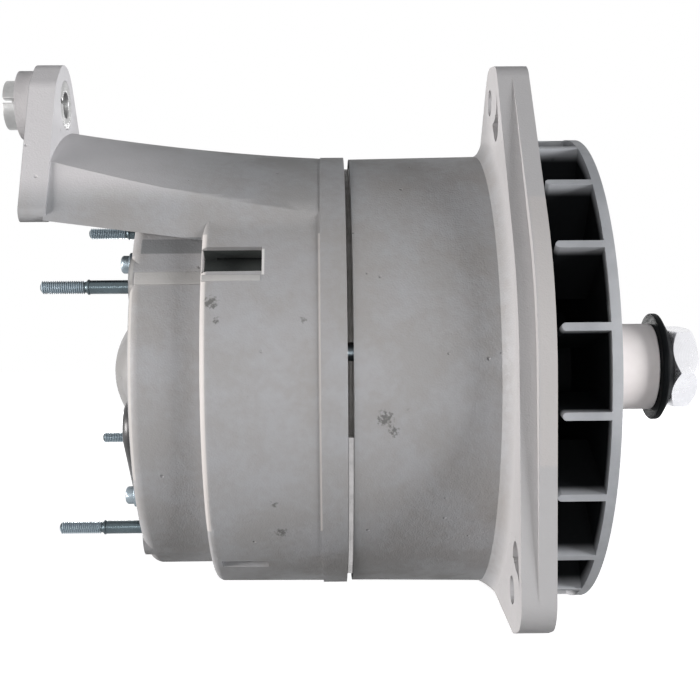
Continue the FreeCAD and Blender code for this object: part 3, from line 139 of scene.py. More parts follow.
FINISHES = [
    Finish("cast_aluminium", CAST, (0.335, 0.338, 0.35), (0.31, 0.306, 0.305), 0.06, 0.55, 0.12, 1500.0,
           0.00012, 0.2, (0.25, 0.22, 0.19), specular=0.2),
    Finish("fan_aluminium", CAST, (0.47, 0.48, 0.5), (0.43, 0.44, 0.46), 0.06, 0.5, 0.12, 1300.0, 0.00007,
           0.12, (0.2, 0.2, 0.2), specular=0.2),
    Finish("sink_aluminium", TURNED, (0.6, 0.6, 0.61), (0.5, 0.5, 0.5), 0.8, 0.38, 0.12, 1500.0, 0.00003),
    Finish("zinc_steel", TURNED, (0.27, 0.32, 0.355), (0.22, 0.26, 0.29), 0.85, 0.3, 0.15, 2200.0, 0.00003,
           0.1),
    # Darker and lighter copies of zinc_steel: painted shade on the stud shanks, painted highlight on their
    # threads.
    Finish("zinc_shank_painted_shade", TURNED, (0.1, 0.13, 0.145), (0.07, 0.09, 0.1), 0.85, 0.24, 0.12, 2200.0, 0.00002,
           0.1),
    Finish("zinc_thread_painted_highlight", TURNED, (0.42, 0.48, 0.52), (0.35, 0.41, 0.45), 0.85, 0.3, 0.12, 2200.0, 0.00001,
           0.1),
    # A lighter copy of cast_aluminium for the ribs: painted light, with a few real handling marks.
    Finish("rib_aluminium_painted_light", CAST, (0.4, 0.395, 0.39), (0.37, 0.365, 0.36), 0.06, 0.5, 0.12, 1500.0,
           0.00008, 0.1, (0.3, 0.27, 0.24), specular=0.2),
    Finish("bright_zinc", TURNED, (0.9, 0.9, 0.93), (0.82, 0.82, 0.85), 0.85, 0.22, 0.12, 2400.0, 0.00002,
           0.08),
    Finish("bright_steel", TURNED, (0.52, 0.51, 0.51), (0.42, 0.41, 0.41), 0.85, 0.3, 0.14, 2000.0, 0.00004,
           0.15),
    Finish("shaft_steel", TURNED, (0.5, 0.49, 0.48), (0.4, 0.39, 0.38), 0.9, 0.28, 0.12, 2000.0, 0.00003),
    Finish("bearing_steel", TURNED, (0.62, 0.62, 0.63), (0.55, 0.55, 0.56), 1.0, 0.12, 0.08, 3000.0,
           0.00001),
    Finish("cap_steel", CAST, (0.27, 0.27, 0.275), (0.23, 0.23, 0.23), 0.4, 0.45, 0.12, 1200.0, 0.00006,
           0.2),
    Finish("black_steel", TURNED, (0.003, 0.0035, 0.004), (0.005, 0.0055, 0.006), 0.0, 0.45, 0.14, 1600.0,
           0.00004, specular=0.03),
    Finish("forged_steel", CAST, (0.19, 0.19, 0.19), (0.14, 0.14, 0.14), 0.6, 0.5, 0.15, 600.0, 0.00015),
    Finish("spring_steel", TURNED, (0.4, 0.4, 0.4), (0.32, 0.32, 0.32), 0.9, 0.3, 0.1, 2600.0, 0.00003),
    Finish("diode_metal", TURNED, (0.55, 0.53, 0.47), (0.46, 0.44, 0.39), 0.85, 0.3, 0.12, 2200.0, 0.00003),
    Finish("stud_brass", TURNED, (0.62, 0.44, 0.17), (0.5, 0.34, 0.12), 0.9, 0.28, 0.14, 2200.0, 0.00003),
    Finish("ring_copper", TURNED, (0.62, 0.3, 0.17), (0.5, 0.22, 0.12), 0.9, 0.25, 0.12, 2600.0, 0.00003),
    Finish("sleeve_coating", MOULDED, (0.96, 0.9, 0.88), (0.93, 0.87, 0.85), 0.0, 0.55, 0.12, 1300.0,
           0.00005, 0.08, (0.45, 0.38, 0.34)),
    Finish("lamination_steel", STACKED, (0.3, 0.29, 0.28), (0.2, 0.19, 0.18), 0.6, 0.4, 0.15, 900.0,
           0.00008),
    Finish("winding_copper", WOUND, (0.36, 0.13, 0.05), (0.24, 0.08, 0.03), 0.3, 0.28, 0.12, 700.0, 0.0004,
           0.0, (0.1, 0.05, 0.02), 0.5),
    Finish("insulator_plastic", MOULDED, (0.03, 0.03, 0.031), (0.022, 0.022, 0.023), 0.0, 0.42, 0.14,
           1500.0, 0.00005),
    Finish("black_plastic", MOULDED, (0.016, 0.016, 0.018), (0.011, 0.011, 0.012), 0.0, 0.36, 0.16, 1600.0,
           0.00006),
    Finish("cage_plastic", MOULDED, (0.4, 0.31, 0.2), (0.34, 0.26, 0.16), 0.0, 0.45, 0.12, 1300.0, 0.00005),
    Finish("seal_rubber", MOULDED, (0.015, 0.015, 0.015), (0.02, 0.02, 0.02), 0.0, 0.55, 0.15, 1100.0,
           0.00006),
    Finish("brush_carbon", MOULDED, (0.03, 0.028, 0.027), (0.022, 0.02, 0.02), 0.15, 0.5, 0.15, 1800.0,
           0.00005),
]

# Pitch and weight of the turning marks, layers or windings of a surface.
RINGS = {TURNED: (9000.0, 0.6), STACKED: (6300.0, 1.2), WOUND: (3600.0, 2.0)}

# Centre and radius of each dark scuff on the housings.
SCUFFS: tuple[tuple[Point, float], ...] = (
    ((0.0485, -0.0852, 0.0256), 0.0045), ((0.0505, -0.0868, 0.0190), 0.0025),
    ((0.0813, -0.0870, 0.0187), 0.0022), ((0.1106, -0.0874, -0.0166), 0.0050),
    ((0.1135, -0.0868, -0.0215), 0.0035), ((0.0722, -0.0653, -0.0605), 0.0040),
    ((0.0700, -0.0746, -0.0485), 0.0025))


@dataclass(frozen=True)
class Patch:
    """A box of a casting that has another tone; most boxes are painted highlights and painted shade.

    Args:
        spans: Lowest and highest X, Y and Z.
        rise: Width of its soft sides.
        tone: Its colour, linear.
    """

    spans: tuple[Span, ...]
    rise: float
    tone: Colour


PATCHES = (
    # back of the rear ear
    Patch(((-0.0257, -0.0247), (-0.1, 0.1), (0.04, 0.13)), 0.0002, (0.24, 0.24, 0.245)),
    # painted highlight along the bead
    Patch(((0.0867, 0.0879), (-0.1, -0.06), (-0.06, 0.0515)), 0.0005, (0.52, 0.5, 0.49)),
    # painted highlight on the edge of the step
    Patch(((0.0438, 0.0463), (-0.1, -0.055), (-0.06, 0.0515)), 0.0006, (0.5, 0.48, 0.47)),
    # painted highlight on the rear edge of the neck
    Patch(((0.0171, 0.0187), (-0.1, -0.055), (-0.04, 0.044)), 0.0005, (0.42, 0.41, 0.4)),
    # painted shadow of the arm on the recess below it
    Patch(((0.0205, 0.0438), (-0.0735, -0.05), (0.0444, 0.0505)), 0.0004, (0.19, 0.195, 0.2)),
    # painted shade on the walls of the side window
    Patch(((0.0446, 0.0662), (-0.0775, -0.05), (0.0362, 0.0452)), 0.0002, (0.05, 0.055, 0.053)),
    # painted highlight on the right end of the side window
    Patch(((0.0663, 0.0675), (-0.1, -0.055), (0.0355, 0.0455)), 0.0003, (0.6, 0.59, 0.58)),
    # painted highlight, the lens on the flange
    Patch(((0.1622, 0.172), (-0.12, -0.08), (-0.034, 0.064)), 0.002, (0.44, 0.425, 0.42)))


class Graph:
    """A small writer of shader nodes, for a material or a node group."""

    def __init__(self, tree: bpy.types.NodeTree) -> None:
        """Keep the tree that nodes are added to."""
        self.tree = tree

    def add(self, kind: str, **settings: object) -> Node:
        """Add a node.

        Args:
            kind: Blender's name of the node type.
            **settings: Node properties to set.

        Returns:
            The new node.
        """
        node = self.tree.nodes.new(kind)
        for name, value in settings.items():
            setattr(node, name, value)
        return node

    def feed(self, socket: Socket, value: object) -> None:
        """Link an output to a socket, or set the socket to a plain value."""
        if isinstance(value, Socket):
            self.tree.links.new(value, socket)
        else:
            socket.default_value = value

    def math(self, operation: str, *values: object) -> Socket:
        """Return the result of a Math node on one to three values."""
        node = self.add("ShaderNodeMath", operation=operation)
        for socket, value in zip(node.inputs, values):
            self.feed(socket, value)
        return node.outputs[0]

    def noise(self, vector: object, scale: object, detail: float = 3.0) -> Socket:
        """Return the value of a noise texture."""
        node = self.add("ShaderNodeTexNoise")
        self.feed(node.inputs["Vector"], vector)
        self.feed(node.inputs["Scale"], scale)
        node.inputs["Detail"].default_value = detail
        return node.outputs["Fac"]

    def step(self, value: object, low: float, high: float, bottom: float = 0.0, top: float = 1.0) -> Socket:
        """Return value mapped smoothly from low..high to bottom..top."""
        node = self.add("ShaderNodeMapRange", interpolation_type="SMOOTHSTEP")
        for socket, item in zip(node.inputs, (value, low, high, bottom, top)):
            self.feed(socket, item)
        return node.outputs[0]

    def blend(self, share: object, first: object, second: object) -> Socket:
        """Return a colour mixed from first to second by share."""
        node = self.add("ShaderNodeMix", data_type="RGBA")
        self.feed(node.inputs[0], share)
        for socket, value in ((node.inputs[6], first), (node.inputs[7], second)):
            self.feed(socket, (*value, 1.0) if isinstance(value, tuple) else value)
        return node.outputs[2]

    def inverse(self, mask: object) -> Socket:
        """Return one minus a mask."""
        return self.math("SUBTRACT", 1.0, mask)

    def both(self, first: object, second: object) -> Socket:
        """Return the product of two masks."""
        return self.math("MULTIPLY", first, second)

    def axes(self, vector: object) -> list[Socket]:
        """Return the X, Y and Z of a vector."""
        node = self.add("ShaderNodeSeparateXYZ")
        self.feed(node.inputs[0], vector)
        return list(node.outputs)

    def vector_math(self, operation: str, vector: object, other: Point = (0.0, 0.0, 0.0)) -> Node:
        """Return a Vector Math node on a vector and a plain one."""
        node = self.add("ShaderNodeVectorMath", operation=operation)
        self.feed(node.inputs[0], vector)
        node.inputs[1].default_value = other
        return node

    def seen(self) -> Socket:
        """Return 1 for what the camera sees, straight, mirrored or through glass."""
        path = self.add("ShaderNodeLightPath")
        camera, glossy, glass = (path.outputs[f"Is {kind} Ray"] for kind in ("Camera", "Glossy", "Transmission"))
        return self.math("MAXIMUM", self.math("MAXIMUM", camera, glossy), glass)


class Effects:
    """The node groups that the finishes share, each built once."""

    # Shares of the scale for the coarser layers, and the mottling's border.
    SOFT, BROAD, MOTTLED = 0.22, 0.03, (0.55, 0.95)
    # Cells per metre of the marks and of their ragged edge, and a mark's border.
    MARK_SCALE, RAGGED_SCALE, MARK_EDGE = 14.0, 160.0, (0.66, 0.9)
    # Cells per metre, a pit's border, and which cells have one.
    PIT_SCALE, PIT_EDGE, PIT_CELLS = 210.0, (0.05, 0.16), (0.93, 0.97)

    def __init__(self) -> None:
        """Build every group."""
        self.grain = self._grain()
        self.marks = self._marks()
        self.rings = self._rings()

    @staticmethod
    def _group(name: str, inputs: dict[str, float], outputs: list[str]) -> tuple[Graph, Node, Node]:
        """Start a node group with a vector, number inputs and number outputs.

        Args:
            name: Name of the group.
            inputs: Number inputs with their first values.
            outputs: Names of the number outputs.

        Returns:
            The group's writer and its input and output nodes.
        """
        tree = bpy.data.node_groups.new(name, "ShaderNodeTree")
        tree.interface.new_socket("Vector", in_out="INPUT", socket_type="NodeSocketVector")
        for label, value in inputs.items():
            socket = tree.interface.new_socket(label, in_out="INPUT", socket_type="NodeSocketFloat")
            socket.default_value = value
        for label in outputs:
            tree.interface.new_socket(label, in_out="OUTPUT", socket_type="NodeSocketFloat")
        graph = Graph(tree)
        return graph, graph.add("NodeGroupInput"), graph.add("NodeGroupOutput")

    def _grain(self) -> bpy.types.NodeTree:
        """Return the fine grain of a surface, as a height and a mottled tone."""
        graph, source, target = self._group("grain", {"Scale": 800.0}, ["Height", "Tone"])
        vector, scale = source.outputs["Vector"], source.outputs["Scale"]
        fine = graph.noise(vector, scale, 4.0)
        soft = graph.noise(vector, graph.math("MULTIPLY", scale, self.SOFT), 3.0)
        broad = graph.noise(vector, graph.math("MULTIPLY", scale, self.BROAD), 3.0)
        graph.feed(target.inputs["Height"], graph.math("MULTIPLY_ADD", soft, 0.9, fine))
        graph.feed(target.inputs["Tone"], graph.step(graph.math("MULTIPLY_ADD", soft, 0.5, broad), *self.MOTTLED))
        return graph.tree

    def _marks(self) -> bpy.types.NodeTree:
        """Return masks of handling marks and of small casting pits."""
        graph, source, target = self._group("marks", {"Amount": 0.3}, ["Mask", "Pits"])
        vector = source.outputs["Vector"]
        broad = graph.noise(vector, self.MARK_SCALE, 4.0)
        ragged = graph.noise(vector, self.RAGGED_SCALE, 4.0)
        mark = graph.step(graph.math("MULTIPLY_ADD", ragged, 0.35, broad), *self.MARK_EDGE)
        graph.feed(target.inputs["Mask"], graph.both(mark, source.outputs["Amount"]))
        cells = graph.add("ShaderNodeTexVoronoi")
        graph.feed(cells.inputs["Vector"], vector)
        cells.inputs["Scale"].default_value = self.PIT_SCALE
        chance = graph.add("ShaderNodeSeparateColor")
        graph.feed(chance.inputs[0], cells.outputs["Color"])
        spot = graph.step(cells.outputs["Distance"], *self.PIT_EDGE, 1.0, 0.0)
        graph.feed(target.inputs["Pits"], graph.both(spot, graph.step(chance.outputs[0], *self.PIT_CELLS)))
        return graph.tree

    def _rings(self) -> bpy.types.NodeTree:
        """Return the height of turning marks round the shaft's direction."""
        graph, source, target = self._group("turning_marks", {"Pitch": 4000.0}, ["Height"])
        vector = source.outputs["Vector"]
        x, y, z = graph.axes(vector)
        radius = graph.math("SQRT", graph.math("ADD", graph.math("MULTIPLY", y, y), graph.math("MULTIPLY", z, z)))
        wave = graph.math("SINE", graph.math("MULTIPLY", graph.math("ADD", x, radius), source.outputs["Pitch"]))
        uneven = graph.noise(vector, 300.0)
        graph.feed(target.inputs["Height"], graph.math("MULTIPLY_ADD", uneven, 0.8, wave))
        return graph.tree


@dataclass
class Paintwork:
    """Makes one material for each finish and dresses the pieces with it.

    A span is a soft border in metres: a station along the shaft, or a radius about it.
    """

    effects: Effects = field(default_factory=Effects)
    materials: dict[str, bpy.types.Material] = field(default_factory=dict)
    # The arm and ear are painted lighter: painted light on the faces turned to the lamps.
    arm_end: Span = (0.1, 0.12)
    arm_rim: Span = (0.0905, 0.098)
    arm_painted_light: Colour = (0.55, 0.54, 0.55)
    # The flange ring and its ears are painted lighter: painted light.
    flange_start: Span = (0.14, 0.15)
    flange_rim: Span = (0.0905, 0.096)
    flange_painted_light: Colour = (0.4, 0.395, 0.4)
    rear_face: Span = (0.016, 0.017)
    rear_disc: Span = (0.0806, 0.081)
    rear_tone: Colour = (0.2, 0.2, 0.205)
    # Spans and colour of the painted shade on the housings' inner walls.
    neck_wall: Span = (0.0752, 0.0762)
    body_wall: Span = (0.0838, 0.0848)
    neck_end: Span = (0.0475, 0.048)
    wall_start: Span = (0.0205, 0.0215)
    wall_end: Span = (0.15, 0.156)
    wall_painted_shade: Colour = (0.07, 0.07, 0.073)
    # Spans and colour of the painted shade inside the fan.
    fan_plate: Span = (0.1908, 0.1915)
    fan_rim: Span = (0.0905, 0.0965)
    fan_painted_shade: Colour = (0.012, 0.013, 0.014)
    scuff_edge: Span = (0.33, 0.52)
    scuff_tone: Colour = (0.07, 0.07, 0.066)
    pit_tone: Colour = (0.1, 0.1, 0.1)

    def build(self) -> None:
        """Make every material."""
        for finish in FINISHES:
            self.materials[finish.slot] = self._material(finish)
            LOG.info("finish %s", finish.slot)

    def _place(self, graph: Graph, name: str, vector: object, **values: object) -> Node:
        """Put a shared effect into a material.

        Args:
            graph: Writer of the material.
            name: Name of the effect.
            vector: Object coordinates.
            **values: Values of the group's number inputs.

        Returns:
            The group node.
        """
        node = graph.add("ShaderNodeGroup", node_tree=getattr(self.effects, name))
        graph.feed(node.inputs["Vector"], vector)
        for label, value in values.items():
            graph.feed(node.inputs[label], value)
        return node

    def _pattern(self, graph: Graph, finish: Finish, vector: object, grain: Node) -> object:
        """Return the height that this kind of surface shows on top of its grain.

        Args:
            graph: Writer of the material.
            finish: The finish.
            vector: Object coordinates.
            grain: Group node of its grain.

        Returns:
            The height.
        """
        height = grain.outputs["Height"]
        if finish.surface not in RINGS:
            return height
        pitch, weight = RINGS[finish.surface]
        rings = self._place(graph, "rings", vector, Pitch=pitch)
        return graph.math("MULTIPLY_ADD", rings.outputs["Height"], weight, height)

    @staticmethod
    def _box(graph: Graph, axes: list[Socket], spans: tuple[Span, ...], rise: float) -> Socket:
        """Return a mask of a box with soft sides.

        Args:
            graph: Writer of the material.
            axes: The X, Y and Z coordinates.
            spans: Lowest and highest value on each axis.
            rise: Width of the soft sides.

        Returns:
            The mask.
        """
        total: object = 1.0
        for along, (low, high) in zip(axes, spans):
            total = graph.both(total, graph.step(along, low, low + rise))
            total = graph.both(total, graph.step(along, high - rise, high, 1.0, 0.0))
        return total

    @staticmethod
    def _beyond(graph: Graph, vector: object, rim: Span) -> Socket:
        """Return a mask that rises from one radius about the shaft to the next."""
        flat = graph.vector_math("MULTIPLY", vector, (0.0, 1.0, 1.0))
        return graph.step(graph.vector_math("LENGTH", flat.outputs["Vector"]).outputs["Value"], *rim)

    def _within(self, graph: Graph, vector: object, rim: Span) -> Socket:
        """Return a mask that falls from one radius about the shaft to the next."""
        return graph.inverse(self._beyond(graph, vector, rim))

    def _walls(self, graph: Graph, along: object, vector: object) -> Socket:
        """Return a mask of the inner walls of the housings, where shade is painted dark.

        Args:
            graph: Writer of the material.
            along: The X coordinate.
            vector: Object coordinates.

        Returns:
            The mask.
        """
        body = graph.both(graph.step(along, *self.neck_end), self._within(graph, vector, self.body_wall))
        walls = graph.math("MAXIMUM", self._within(graph, vector, self.neck_wall), body)
        ends = graph.both(graph.step(along, *self.wall_start), graph.step(along, *self.wall_end, 1.0, 0.0))
        return graph.both(walls, ends)

    def _scuffs(self, graph: Graph, vector: object) -> Socket:
        """Return a mask of the few dark scuffs on the housings.

        Args:
            graph: Writer of the material.
            vector: Object coordinates.

        Returns:
            The mask.
        """
        ragged = graph.noise(vector, 900.0, 8.0)
        total: object = 0.0
        for centre, radius in SCUFFS:
            away = graph.vector_math("DISTANCE", vector, centre).outputs["Value"]
            total = graph.math("MAXIMUM", total, graph.step(away, 0.0, radius * 1.7, 1.0, 0.0))
        return graph.both(graph.step(graph.both(total, ragged), *self.scuff_edge), 0.7)

    def _housings(self, graph: Graph, vector: object, colour: object) -> Socket:
        """Lay the lighter and darker parts of both castings over their colour: mostly painted light and painted
        shade, with the dark scuffs.

        Args:
            graph: Writer of the material.
            vector: Object coordinates.
            colour: Colour of the plain casting.

        Returns:
            The colour with every part laid over it.
        """
        axes = graph.axes(vector)
        # Painted light: the arm and ear, far from the shaft at the rear, get a lighter colour.
        arm = graph.both(graph.step(axes[0], *self.arm_end, 1.0, 0.0), self._beyond(graph, vector, self.arm_rim))
        # Painted light: the flange ring gets a lighter colour.
        flange = graph.both(graph.step(axes[0], *self.flange_start), self._beyond(graph, vector, self.flange_rim))
        rear = graph.both(self._box(graph, axes, (self.rear_face,), 0.0002),
                          self._within(graph, vector, self.rear_disc))
        layers = [(arm, self.arm_painted_light), (flange, self.flange_painted_light),
                  (self._walls(graph, axes[0], vector), self.wall_painted_shade), (rear, self.rear_tone)]
        layers += [(self._box(graph, axes, patch.spans, patch.rise), patch.tone) for patch in PATCHES]
        layers.append((self._scuffs(graph, vector), self.scuff_tone))
        for mask, tone in layers:
            colour = graph.blend(mask, colour, tone)
        return colour

    def _material(self, finish: Finish) -> bpy.types.Material:
        """Return the material of one finish.

        Args:
            finish: The finish.

        Returns:
            The material.
        """
        material = bpy.data.materials.new(finish.slot)
        material.use_nodes = True
        graph = Graph(material.node_tree)
        shader = material.node_tree.nodes["Principled BSDF"]
        vector = graph.add("ShaderNodeTexCoord").outputs["Object"]
        grain = self._place(graph, "grain", vector, Scale=finish.grain)
        tone = grain.outputs["Tone"]
        colour = graph.blend(tone, finish.base, finish.second)
        rough = graph.step(tone, 0.0, 1.0, finish.roughness, finish.roughness + finish.spread)
        height = self._pattern(graph, finish, vector, grain)
        if finish.stain:
            marks = self._place(graph, "marks", vector, Amount=finish.stain)
            colour = graph.blend(marks.outputs["Mask"], colour, finish.stain_colour)
            if finish.surface is CAST:
                pits = marks.outputs["Pits"]
                height = graph.math("MULTIPLY_ADD", pits, -4.0, height)
                colour = graph.blend(graph.both(pits, 0.3), colour, self.pit_tone)
        if finish.slot == "cast_aluminium":
            colour = self._housings(graph, vector, colour)
        if finish.slot == "fan_aluminium":
            # Painted shade: inside the fan, behind its front plate and within its rim, the colour goes near black
            # and the gloss is taken away.
            behind = graph.step(graph.axes(vector)[0], *self.fan_plate, 1.0, 0.0)
            inside = graph.both(behind, self._within(graph, vector, self.fan_rim))
            colour = graph.blend(inside, colour, self.fan_painted_shade)
            outside = graph.inverse(inside)
            graph.feed(shader.inputs["Specular IOR Level"], graph.both(outside, finish.specular))
            graph.feed(shader.inputs["Metallic"], graph.both(outside, finish.metallic))
        bump = graph.add("ShaderNodeBump")
        bump.inputs["Distance"].default_value = finish.bump
        graph.feed(bump.inputs["Height"], height)
        graph.feed(shader.inputs["Base Color"], colour)
        graph.feed(shader.inputs["Roughness"], rough)
        graph.feed(shader.inputs["Normal"], bump.outputs["Normal"])
        if not shader.inputs["Metallic"].is_linked:
            shader.inputs["Metallic"].default_value = finish.metallic
            shader.inputs["Specular IOR Level"].default_value = finish.specular
        shader.inputs["Coat Weight"].default_value = finish.coat
        return material

    def dress(self, piece: Piece, slot: str) -> None:
        """Give a piece the material of a slot, in all its material slots."""
        if not piece.data.materials:
            piece.data.materials.append(None)
        for index in range(len(piece.data.materials)):
            piece.data.materials[index] = self.materials[slot]


class Bench:
    """Modelling steps that the sub-assemblies share."""

    @staticmethod
    def clear() -> None:
        """Leave edit mode and deselect everything."""
        if bpy.context.mode != "OBJECT":
            bpy.ops.object.mode_set(mode="OBJECT")
        bpy.ops.object.select_all(action="DESELECT")

    @staticmethod
    def edit() -> None:
        """Enter edit mode and select everything."""
        bpy.ops.object.mode_set(mode="EDIT")
        bpy.ops.mesh.select_all(action="SELECT")

    @staticmethod
    def only(piece: Piece) -> None:
        """Select this piece alone and make it active."""
        Bench.clear()
        piece.select_set(True)
        bpy.context.view_layer.objects.active = piece

    @staticmethod
    def settle(piece: Piece, angle: float = SMOOTH_DEG) -> Piece:
        """Apply a piece's place, turn its faces outwards and smooth it.

        Args:
            piece: A mesh object.
            angle: Edges sharper than this stay crisp, in degrees.

        Returns:
            The same object.
        """
        Bench.only(piece)
        bpy.ops.object.transform_apply(location=True, rotation=True, scale=True)
        Bench.edit()
        bpy.ops.mesh.normals_make_consistent(inside=False)
        bpy.ops.object.mode_set(mode="OBJECT")
        bpy.ops.object.shade_smooth_by_angle(angle=math.radians(angle))
        return piece

    @staticmethod
    def bevel(piece: Piece, width: float, segments: int = 2) -> None:
        """Round a piece's edges with an applied Bevel modifier.

        Args:
            piece: A mesh object.
            width: Width of the rounding in metres.
            segments: Faces across the rounding.
        """
        Bench.only(piece)
        edge = piece.modifiers.new("edge", "BEVEL")
        edge.width = width
        edge.segments = segments
        edge.limit_method = "ANGLE"
        edge.angle_limit = math.radians(BEVEL_DEG)
        bpy.ops.object.modifier_apply(modifier=edge.name)

    @staticmethod
    def copy_node(node: str, name: str, width: float, segments: int = 2) -> Piece:
        """Copy a CAD node, merge its triangles and round its edges.

        Args:
            node: Name of the CAD node.
            name: Name of the new piece.
            width: Width of the edge rounding in metres.
            segments: Faces across the rounding.

        Returns:
            The new piece.
        """
        piece = bpy.data.objects.new(name, frame["nodes"][node].data.copy())
        bpy.context.scene.collection.objects.link(piece)
        Bench.only(piece)
        Bench.edit()
        bpy.ops.mesh.remove_doubles(threshold=WELD)
        bpy.ops.mesh.dissolve_limited(angle_limit=math.radians(FLAT_DEG))
        bpy.ops.object.mode_set(mode="OBJECT")
        Bench.bevel(piece, width, segments)
        bpy.ops.object.shade_smooth_by_angle(angle=math.radians(SMOOTH_DEG))
        return piece

    @staticmethod
    def even(piece: Piece) -> Piece:
        """Weight the shading of a piece by face size, and return the piece."""
        Bench.only(piece)
        weights = piece.modifiers.new("even", "WEIGHTED_NORMAL")
        weights.keep_sharp = True
        bpy.ops.object.modifier_apply(modifier=weights.name)
        return piece

    @staticmethod
    def crease(piece: Piece, first_deg: float, half_deg: float, low: float, high: float) -> None:
        """Keep the long edges of the stud bosses crisp.

        Args:
            piece: The rear casting.
            first_deg: Angle of the first boss.
            half_deg: Half the angle that a boss's strip covers.
            low: Station where the edges start.
            high: Station where they end.
        """
        shortest, slack_deg = 1.0 * MM, 0.45
        points = piece.data.vertices
        for edge in piece.data.edges:
            ends = [points[index].co for index in edge.vertices]
            if not all(low < end.x < high for end in ends) or abs(ends[0].x - ends[1].x) < shortest:
                continue
            turns = [(math.degrees(math.atan2(end.z, -end.y)) - first_deg + 45.0) % 90.0 - 45.0 for end in ends]
            if all(abs(abs(turn) - half_deg) < slack_deg for turn in turns):
                edge.use_edge_sharp = True

    @staticmethod
    def lathe(name: str, profile: Profile, centre: Span, sides: int) -> Piece:
        """Extrude a ring along X from station to station.

        Args:
            name: Name of the new piece.
            profile: Stations as (x, radius), in metres.
            centre: Y and Z of the axis.
            sides: Sides of the ring.

        Returns:
            The new piece.
        """
        Bench.clear()
        x, radius = profile[0]
        bpy.ops.mesh.primitive_circle_add(vertices=sides, radius=radius, fill_type="NOTHING",
                                          location=(x, *centre), rotation=(0, math.pi / 2, 0))
        piece = bpy.context.active_object
        piece.name = name
        Bench.edit()
        for next_x, next_radius in profile[1:]:
            bpy.ops.mesh.extrude_region_move(TRANSFORM_OT_translate={"value": (next_x - x, 0, 0)})
            share = next_radius / radius
            bpy.ops.transform.resize(value=(1, share, share), center_override=(next_x, *centre))
            x, radius = next_x, next_radius
        bpy.ops.mesh.select_all(action="SELECT")
        bpy.ops.mesh.fill_holes(sides=0)
        return Bench.settle(piece)

    @staticmethod
    def thread(name: str, x0: float, x1: float, radius: float, pitch: float, centre: Span) -> Piece:
        """Wind the ridge of a right-hand thread round a core.

        Args:
            name: Name of the new piece.
            x0: Start of the thread.
            x1: End of the thread.
            radius: Outer radius.
            pitch: Rise for each turn.
            centre: Y and Z of the axis.

        Returns:
            The new piece.
        """
        Bench.clear()
        bpy.ops.mesh.primitive_circle_add(vertices=4, radius=pitch / 2, fill_type="NOTHING", location=(0, *centre))
        piece = bpy.context.active_object
        piece.name = name
        for vertex, (along, deep) in zip(piece.data.vertices, THREAD_SECTION):
            vertex.co = (x0 + along * pitch, 0, radius - deep * pitch)
        winding = piece.modifiers.new("winding", "SCREW")
        winding.axis = "X"
        winding.screw_offset = pitch
        winding.iterations = max(1, int((x1 - x0) / pitch) - 1)
        winding.steps = 28
        winding.use_smooth_shade = False
        bpy.ops.object.modifier_apply(modifier=winding.name)
        Bench.edit()
        bpy.ops.mesh.fill_holes(sides=4)
        return Bench.settle(piece, 25.0)

    @staticmethod
    def prism(name: str, x0: float, x1: float, radius: float, sides: int, centre: Span) -> Piece:
        """Make a many-sided prism along X, such as a screw's shank.

        Args:
            name: Name of the new piece.
            x0: Station of its first end.
            x1: Station of its second end.
            radius: Radius at the corners.
            sides: Number of sides.
            centre: Y and Z of the axis.

        Returns:
            The new piece.
        """
        Bench.clear()
        bpy.ops.mesh.primitive_cylinder_add(vertices=sides, radius=radius, depth=x1 - x0,
                                            location=((x0 + x1) / 2, *centre), rotation=(0, math.pi / 2, 0))
        piece = bpy.context.active_object
        piece.name = name
        return Bench.settle(piece)

    @staticmethod
    def join(name: str, pieces: list[Piece]) -> Piece:
        """Join pieces into the first of them and name it."""
        Bench.clear()
        for piece in pieces:
            piece.select_set(True)
        bpy.context.view_layer.objects.active = pieces[0]
        bpy.ops.object.join()
        pieces[0].name = name
        return pieces[0]

    @staticmethod
    def quarters(name: str, piece: Piece) -> Piece:
        """Copy a piece round the shaft, a quarter turn apart, and join all four.

        Args:
            name: Name of the joined piece.
            piece: The first of the four.

        Returns:
            The joined piece.
        """
        pieces = [piece]
        for quarter in range(1, 4):
            twin = piece.copy()
            twin.data = piece.data.copy()
            bpy.context.scene.collection.objects.link(twin)
            twin.data.transform(Matrix.Rotation(quarter * math.pi / 2, 4, "X"))
            pieces.append(twin)
        return Bench.join(name, pieces)


@dataclass
class SubAssembly:
    """A group of pieces on one body.

    Args:
        paint: The materials.
        body: Body that the pieces ride on.
    """

    paint: Paintwork
    body: str = "frame"

    def fit(self, piece: Piece, slot: str, *nodes: str, look: str = "") -> None:
        """Dress a piece, put it on the body and let it stand for CAD nodes.

        Args:
            piece: The finished piece.
            slot: Its material slot.
            *nodes: CAD nodes that it replaces.
            look: Finish that it shows, where that isn't its slot's own.
        """
        self.paint.dress(piece, look or slot)
        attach(piece, self.body)
        if nodes:
            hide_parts(*nodes)
        LOG.info("piece %s: %d faces, stands for %s", piece.name, len(piece.data.polygons), nodes or "nothing")

    def soften(self, node: str, name: str, slot: str, width: float, segments: int = 2) -> None:
        """Put a copy with rounded edges in the place of a CAD node.

        Args:
            node: Name of the CAD node.
            name: Name of the new piece.
            slot: Its material slot.
            width: Width of the edge rounding in metres.
            segments: Faces across the rounding.
        """
        self.fit(Bench.copy_node(node, name, width, segments), slot, node)


